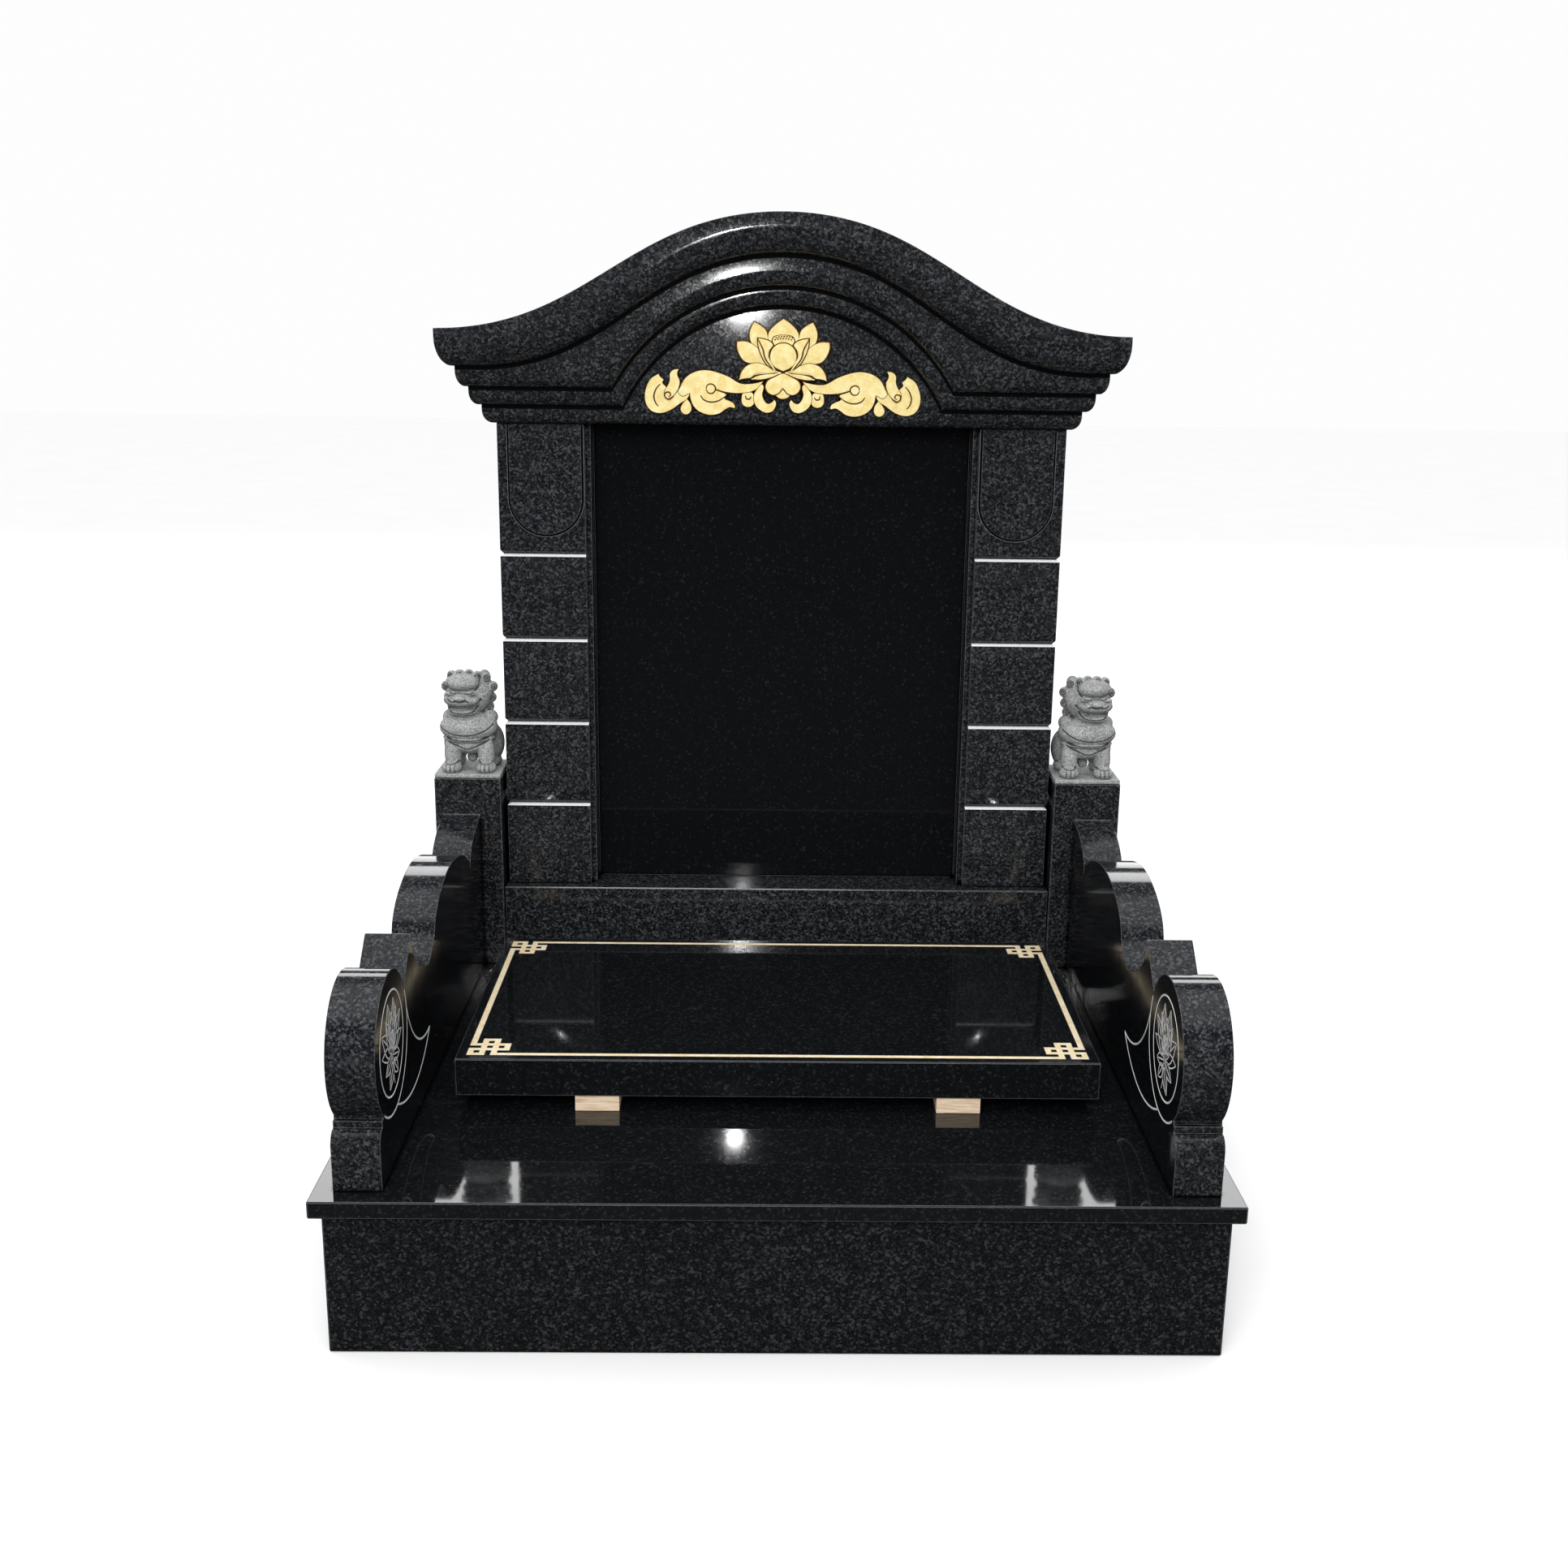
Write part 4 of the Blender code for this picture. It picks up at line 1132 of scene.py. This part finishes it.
def carve(piece, cuts):
    """Press grooves into a figure along paths of (points, half width, depth), and mark them for painted
    shade.
    """
    samples = [(point, width, depth) for path, width, depth in cuts for point in path]
    tree = kdtree.KDTree(len(samples))
    for i, (point, width, depth) in enumerate(samples):
        tree.insert(point, i)
    tree.balance()
    mesh = piece.data
    mark = mesh.attributes.new("cut", "FLOAT", "POINT")
    moves = []
    for vertex in mesh.vertices:
        place, i, distance = tree.find(vertex.co)
        width, depth = samples[i][1:]
        if distance < width:
            share = (1 + math.cos(math.pi * distance / width)) / 2
            moves.append((vertex, vertex.normal * depth * share))
            mark.data[vertex.index].value = min(0.92, 1.5 * share)
    for vertex, move in moves:
        vertex.co -= move


def lion_cuts(lion, height, seat):
    """All the grooves of a lion: its lines, the curls' spirals and its toes."""
    bpy.context.view_layer.update()
    cuts = []
    ahead = Vector((0, 1, 0))
    for width, depth, points in LION_LINES:
        line = drawn(points, steps=24)
        starts = [seat + Vector((p.x, -0.8, p.y)) * height for p in line]
        cuts.append((surface_path(lion, starts, ahead), width * height, 0.7 * depth * height))
    for centre, size, side in lion_curls():
        middle = Vector(centre)
        along = -0.9 if middle.y < 0.1 else 0.9
        looking = Vector((middle.x * 1.6, along, 0.25 * (middle.z - 0.7))).normalized()
        across = looking.cross(Vector((0, 0, 1))).normalized()
        up = across.cross(looking)
        starts = []
        for i in range(30):
            angle = side * (0.6 + 3.4 * math.pi * i / 29)
            reach = size * (0.12 + 0.62 * i / 29)
            spot = middle + (across * math.cos(angle) + up * math.sin(angle)) * reach + looking * 0.5
            starts.append(seat + spot * height)
        path = [
            p for p in surface_path(lion, starts, -looking)
            if ((p - seat) / height - middle).length < 1.5 * size]
        cuts.append((path, 0.011 * height, 0.010 * height))
    for side in (-1, 1):
        for i in range(3):
            x = side * (0.125 + 0.045 * i)
            starts = [seat + Vector((x, -0.8, 0.012 + 0.008 * k)) * height for k in range(10)]
            cuts.append((surface_path(lion, starts, ahead), 0.009 * height, 0.010 * height))
    return [cut for cut in cuts if cut[0]]


class Lions(Operator):
    """Carve the guardian lions, with their plates, on top of the posts"""
    bl_idname = "tomb.lions"
    bl_label = "Lions"

    def execute(self, context):
        settings = context.scene.tomb_lion
        height = settings.height
        forms = [add_form(centre, radii, height) for centre, radii in LION_FORMS]
        for centre, radii in LION_PAIRS:
            for side in (-1, 1):
                forms.append(add_form((side * centre[0], *centre[1:]), radii, height))
        for side in (-1, 1):
            forms.append(add_form((side * 0.10 - 0.05, -0.255, 0.80), (0.062, 0.045, 0.022), height, 16))
        for centre, size, side in lion_curls():
            forms.append(add_form(centre, (size, 1.1 * size, size), height, 16))
        lion = join(forms, "guardian_lion_left")
        lion.data.materials.append(FINISHES["lion"])
        apply_modifier(lion, "REMESH", mode="VOXEL", voxel_size=settings.voxel)
        apply_modifier(lion, "SMOOTH", factor=0.5, iterations=4)
        middle = Vector((-(POST_LOW.x + POST_HIGH.x) / 2, (POST_LOW.y + POST_HIGH.y) / 2, LION_LOW.z))
        seat = middle + Vector((0, 0, settings.plate))
        lion.data.transform(Matrix.Translation(seat))
        half = (LION_HIGH.x - LION_LOW.x) / 2
        stand = stone_block(
            "stand", middle - Vector((half, half, 0)), middle + Vector((half, half, settings.plate)),
            FINISHES["lion"])
        ease_edges(stand, 0.0012)
        merge(lion, stand, "UNION", "MANIFOLD")
        carve(lion, lion_cuts(lion, height, seat))
        polish_shading(lion, 50)
        twin = mirrored(lion, "guardian_lion_right")
        for side, piece in (("left", lion), ("right", twin)):
            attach(piece, "root")
            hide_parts("lion_" + side)
        return {"FINISHED"}


# ---------------------------------------------------------------- cover slab

def fret_bars(reach_x, reach_y):
    """Bars of one fret corner with its two runs of border, in bar widths from the border's corner."""
    return (
        (0, 0, 3, 1), (0, 0, 1, 3), (0, 2, 7, 3), (2, 0, 3, 7), (0, 4, 7, 5), (4, 0, 5, 7),
        (6, 2, 7, 5), (2, 6, 5, 7), (4, 0, reach_x, 1), (0, 4, 1, reach_y))


class GildedBorder(Operator):
    """Gild the line and the fret corners sunk in the cover slab"""
    bl_idname = "tomb.gilded_border"
    bl_label = "Gilded Border"

    def execute(self, context):
        margin, bar, sink = 0.0185, 0.0104, 0.0010
        half_x = COVER_HIGH.x - margin
        half_y = (COVER_HIGH.y - COVER_LOW.y) / 2 - margin
        middle_y = (COVER_HIGH.y + COVER_LOW.y) / 2
        bars = fret_bars(half_x / bar, half_y / bar)
        cuts_x = sorted({round(v * bar, 7) for b in bars for v in (b[0], b[2])})
        cuts_y = sorted({round(v * bar, 7) for b in bars for v in (b[1], b[3])})
        xs = [v - half_x for v in cuts_x] + [half_x - v for v in reversed(cuts_x[:-1])]
        ys = [v - half_y for v in cuts_y] + [half_y - v for v in reversed(cuts_y[:-1])]
        bottom = COVER_HIGH.z - sink - 0.0002
        border = sheet(
            "border_gilding", len(xs) - 1, len(ys) - 1,
            lambda i, j: (xs[i], middle_y + ys[j], bottom), FINISHES["border"])
        activate(border)
        bpy.ops.object.mode_set(mode="EDIT")
        bpy.ops.mesh.select_mode(type="FACE")
        bpy.ops.mesh.select_all(action="DESELECT")
        bpy.ops.object.mode_set(mode="OBJECT")
        for face in border.data.polygons:
            u = (half_x - abs(face.center.x)) / bar
            v = (half_y - abs(face.center.y - middle_y)) / bar
            face.select = not any(x0 < u < x1 and y0 < v < y1 for x0, y0, x1, y1 in bars)
        bpy.ops.object.mode_set(mode="EDIT")
        bpy.ops.mesh.delete(type="FACE")
        bpy.ops.mesh.select_all(action="SELECT")
        extrude((0, 0, 0.0009))
        bpy.ops.mesh.select_all(action="SELECT")
        bpy.ops.mesh.normals_make_consistent(inside=False)
        bpy.ops.object.mode_set(mode="OBJECT")
        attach(border, "root")
        return {"FINISHED"}


# ---------------------------------------------------------------- stage

def area_lamp(name, place, target, size, power, shape="ELLIPSE"):
    bpy.ops.object.light_add(type="AREA", location=place)
    lamp = bpy.context.object
    lamp.name = name
    lamp.data.shape = shape
    lamp.data.size, lamp.data.size_y = size
    lamp.data.energy = power
    lamp.rotation_mode = "QUATERNION"
    lamp.rotation_quaternion = (Vector(target) - Vector(place)).to_track_quat("-Z", "Y")
    return lamp


class Stage(Operator):
    """Set out the floor, the soft lamps, the sky and the camera"""
    bl_idname = "tomb.stage"
    bl_label = "Stage"

    def execute(self, context):
        stage = context.scene.tomb_stage
        deselect_all()
        bpy.ops.mesh.primitive_plane_add(size=60, location=(0, 0, -0.0005))
        material, tree, shader = new_material("floor_paper", 0.9, 0.1)
        tone = noise_at(tree, 2.0, 2.0)
        low, high = (tuple(c * k for c in stage.floor) for k in (0.99, 1.01))
        tree.links.new(ramp(tree, tone, ((0.3, low), (0.7, high))), shader.inputs["Base Color"])
        carpet = node(tree, "ShaderNodeBsdfDiffuse", Color=(0.05, 0.052, 0.055, 1))
        paths, mix = tree.nodes.new("ShaderNodeLightPath"), tree.nodes.new("ShaderNodeMixShader")
        tree.links.new(paths.outputs["Is Camera Ray"], mix.inputs["Fac"])
        tree.links.new(carpet.outputs[0], mix.inputs[1])
        tree.links.new(shader.outputs[0], mix.inputs[2])
        tree.links.new(mix.outputs[0], tree.nodes["Material Output"].inputs["Surface"])
        floor = named("floor", material)
        bpy.ops.object.transform_apply(location=True, rotation=False, scale=False)
        self.add_sky(context)
        area_lamp("overhead", (-0.2, -1.2, 4.6), (0, 0.2, 0.6), (1.8, 0.7), 22)
        area_lamp("window_row", (0.0, 8.0, 5.4), (0.0, -0.5, 0.5), (12.0, 1.9), 330, "RECTANGLE")
        fill = area_lamp("front_fill", (-0.8, -5.0, 3.6), (0, 0, 0.9), (3.2, 2.0), 165, "RECTANGLE")
        fill.visible_glossy = False
        area_lamp("beside_camera", (-0.123, -3.152, 1.706), (0, 0, 0.7), (0.05, 0.05), 6)
        backdrop = area_lamp("backdrop", (0.0, 7.0, 1.25), (0, 0, 0.6), (12.0, 1.9), 150, "RECTANGLE")
        backdrop.visible_camera = backdrop.visible_diffuse = False
        self.add_camera(context, stage)
        context.scene.view_settings.view_transform = "Standard"
        return {"FINISHED"}

    def add_sky(self, context):
        """An even pale sky. The polish mirrors a darker room with a bright ceiling."""
        world = bpy.data.worlds.new("studio")
        world.use_nodes = True
        tree = world.node_tree
        tree.nodes.clear()
        seen, even, mirrored_room = (tree.nodes.new("ShaderNodeBackground") for _ in range(3))
        seen.inputs["Color"].default_value = (0.985, 0.985, 0.985, 1)
        even.inputs["Color"].default_value = (1, 1, 1, 1)
        even.inputs["Strength"].default_value = 1.12
        direction = tree.nodes.new("ShaderNodeTexCoord").outputs["Generated"]
        height = tree.nodes.new("ShaderNodeSeparateXYZ")
        tree.links.new(direction, height.inputs[0])
        room = ramp(tree, height.outputs["Z"], (
            (0.0, (0.16, 0.17, 0.18)), (0.30, (0.05, 0.055, 0.062)), (0.74, (0.10, 0.11, 0.125)),
            (0.90, (0.95, 0.98, 1.0))))
        tree.links.new(room, mirrored_room.inputs["Color"])
        paths, out = tree.nodes.new("ShaderNodeLightPath"), tree.nodes.new("ShaderNodeOutputWorld")
        sky = even
        for ray, background in (("Is Glossy Ray", mirrored_room), ("Is Camera Ray", seen)):
            mix = tree.nodes.new("ShaderNodeMixShader")
            tree.links.new(paths.outputs[ray], mix.inputs["Fac"])
            tree.links.new(sky.outputs[0], mix.inputs[1])
            tree.links.new(background.outputs[0], mix.inputs[2])
            sky = mix
        tree.links.new(sky.outputs[0], out.inputs["Surface"])
        context.scene.world = world

    def add_camera(self, context, stage):
        pitch, yaw, roll = stage.camera_turn
        ahead = Vector((math.sin(yaw) * math.cos(pitch), math.cos(yaw) * math.cos(pitch), -math.sin(pitch)))
        level = Vector((math.cos(yaw), -math.sin(yaw), 0))
        upright = level.cross(ahead)
        right = math.cos(roll) * level + math.sin(roll) * upright
        up = -math.sin(roll) * level + math.cos(roll) * upright
        turn = Matrix((right, up, -ahead)).transposed()
        bpy.ops.object.camera_add(location=stage.camera_place)
        camera = bpy.context.object
        camera.rotation_mode = "QUATERNION"
        camera.rotation_quaternion = turn.to_quaternion()
        camera.data.lens = stage.lens
        camera.data.sensor_width = SENSOR_WIDTH
        camera.data.shift_x = FILM_SHIFT
        context.scene.camera = camera


# ---------------------------------------------------------------- add-on

class MonumentPanel(Panel):
    """Lists the monument's pieces and settings"""
    bl_idname = "VIEW3D_PT_tomb_monument"
    bl_label = "Tomb Monument"
    bl_space_type = "VIEW_3D"
    bl_region_type = "UI"
    bl_category = "Monument"

    def draw(self, context):
        for name, kind in SETTINGS.items():
            box = self.layout.box()
            box.label(text=kind.__name__.replace("Settings", ""))
            for key in kind.__annotations__:
                box.prop(getattr(context.scene, name), key)
        for operator in OPERATORS:
            self.layout.operator(operator.bl_idname)


SETTINGS = {
    "tomb_stone": StoneSettings,
    "tomb_gilding": GildingSettings,
    "tomb_roof": RoofSettings,
    "tomb_slab": SlabSettings,
    "tomb_lion": LionSettings,
    "tomb_stage": StageSettings,
}
OPERATORS = (
    PlainStones, RoofStone, LotusRelief, CloudScrolls, Pillars, SideSlabs, EtchedLotuses, Lions,
    GildedBorder, Stage,
)


def register():
    for kind in (*SETTINGS.values(), *OPERATORS, MonumentPanel):
        bpy.utils.register_class(kind)
    for name, kind in SETTINGS.items():
        setattr(bpy.types.Scene, name, PointerProperty(type=kind))


def unregister():
    for name in SETTINGS:
        delattr(bpy.types.Scene, name)
    for kind in reversed((*SETTINGS.values(), *OPERATORS, MonumentPanel)):
        bpy.utils.unregister_class(kind)


def main():
    register()
    bpy.ops.tomb.plain_stones()
    bpy.ops.tomb.roof_stone()
    bpy.ops.tomb.lotus_relief()
    bpy.ops.tomb.cloud_scrolls()
    bpy.ops.tomb.pillars()
    bpy.ops.tomb.side_slabs()
    bpy.ops.tomb.etched_lotuses()
    bpy.ops.tomb.lions()
    bpy.ops.tomb.gilded_border()
    bpy.ops.tomb.stage()


if __name__ == "__main__":
    main()
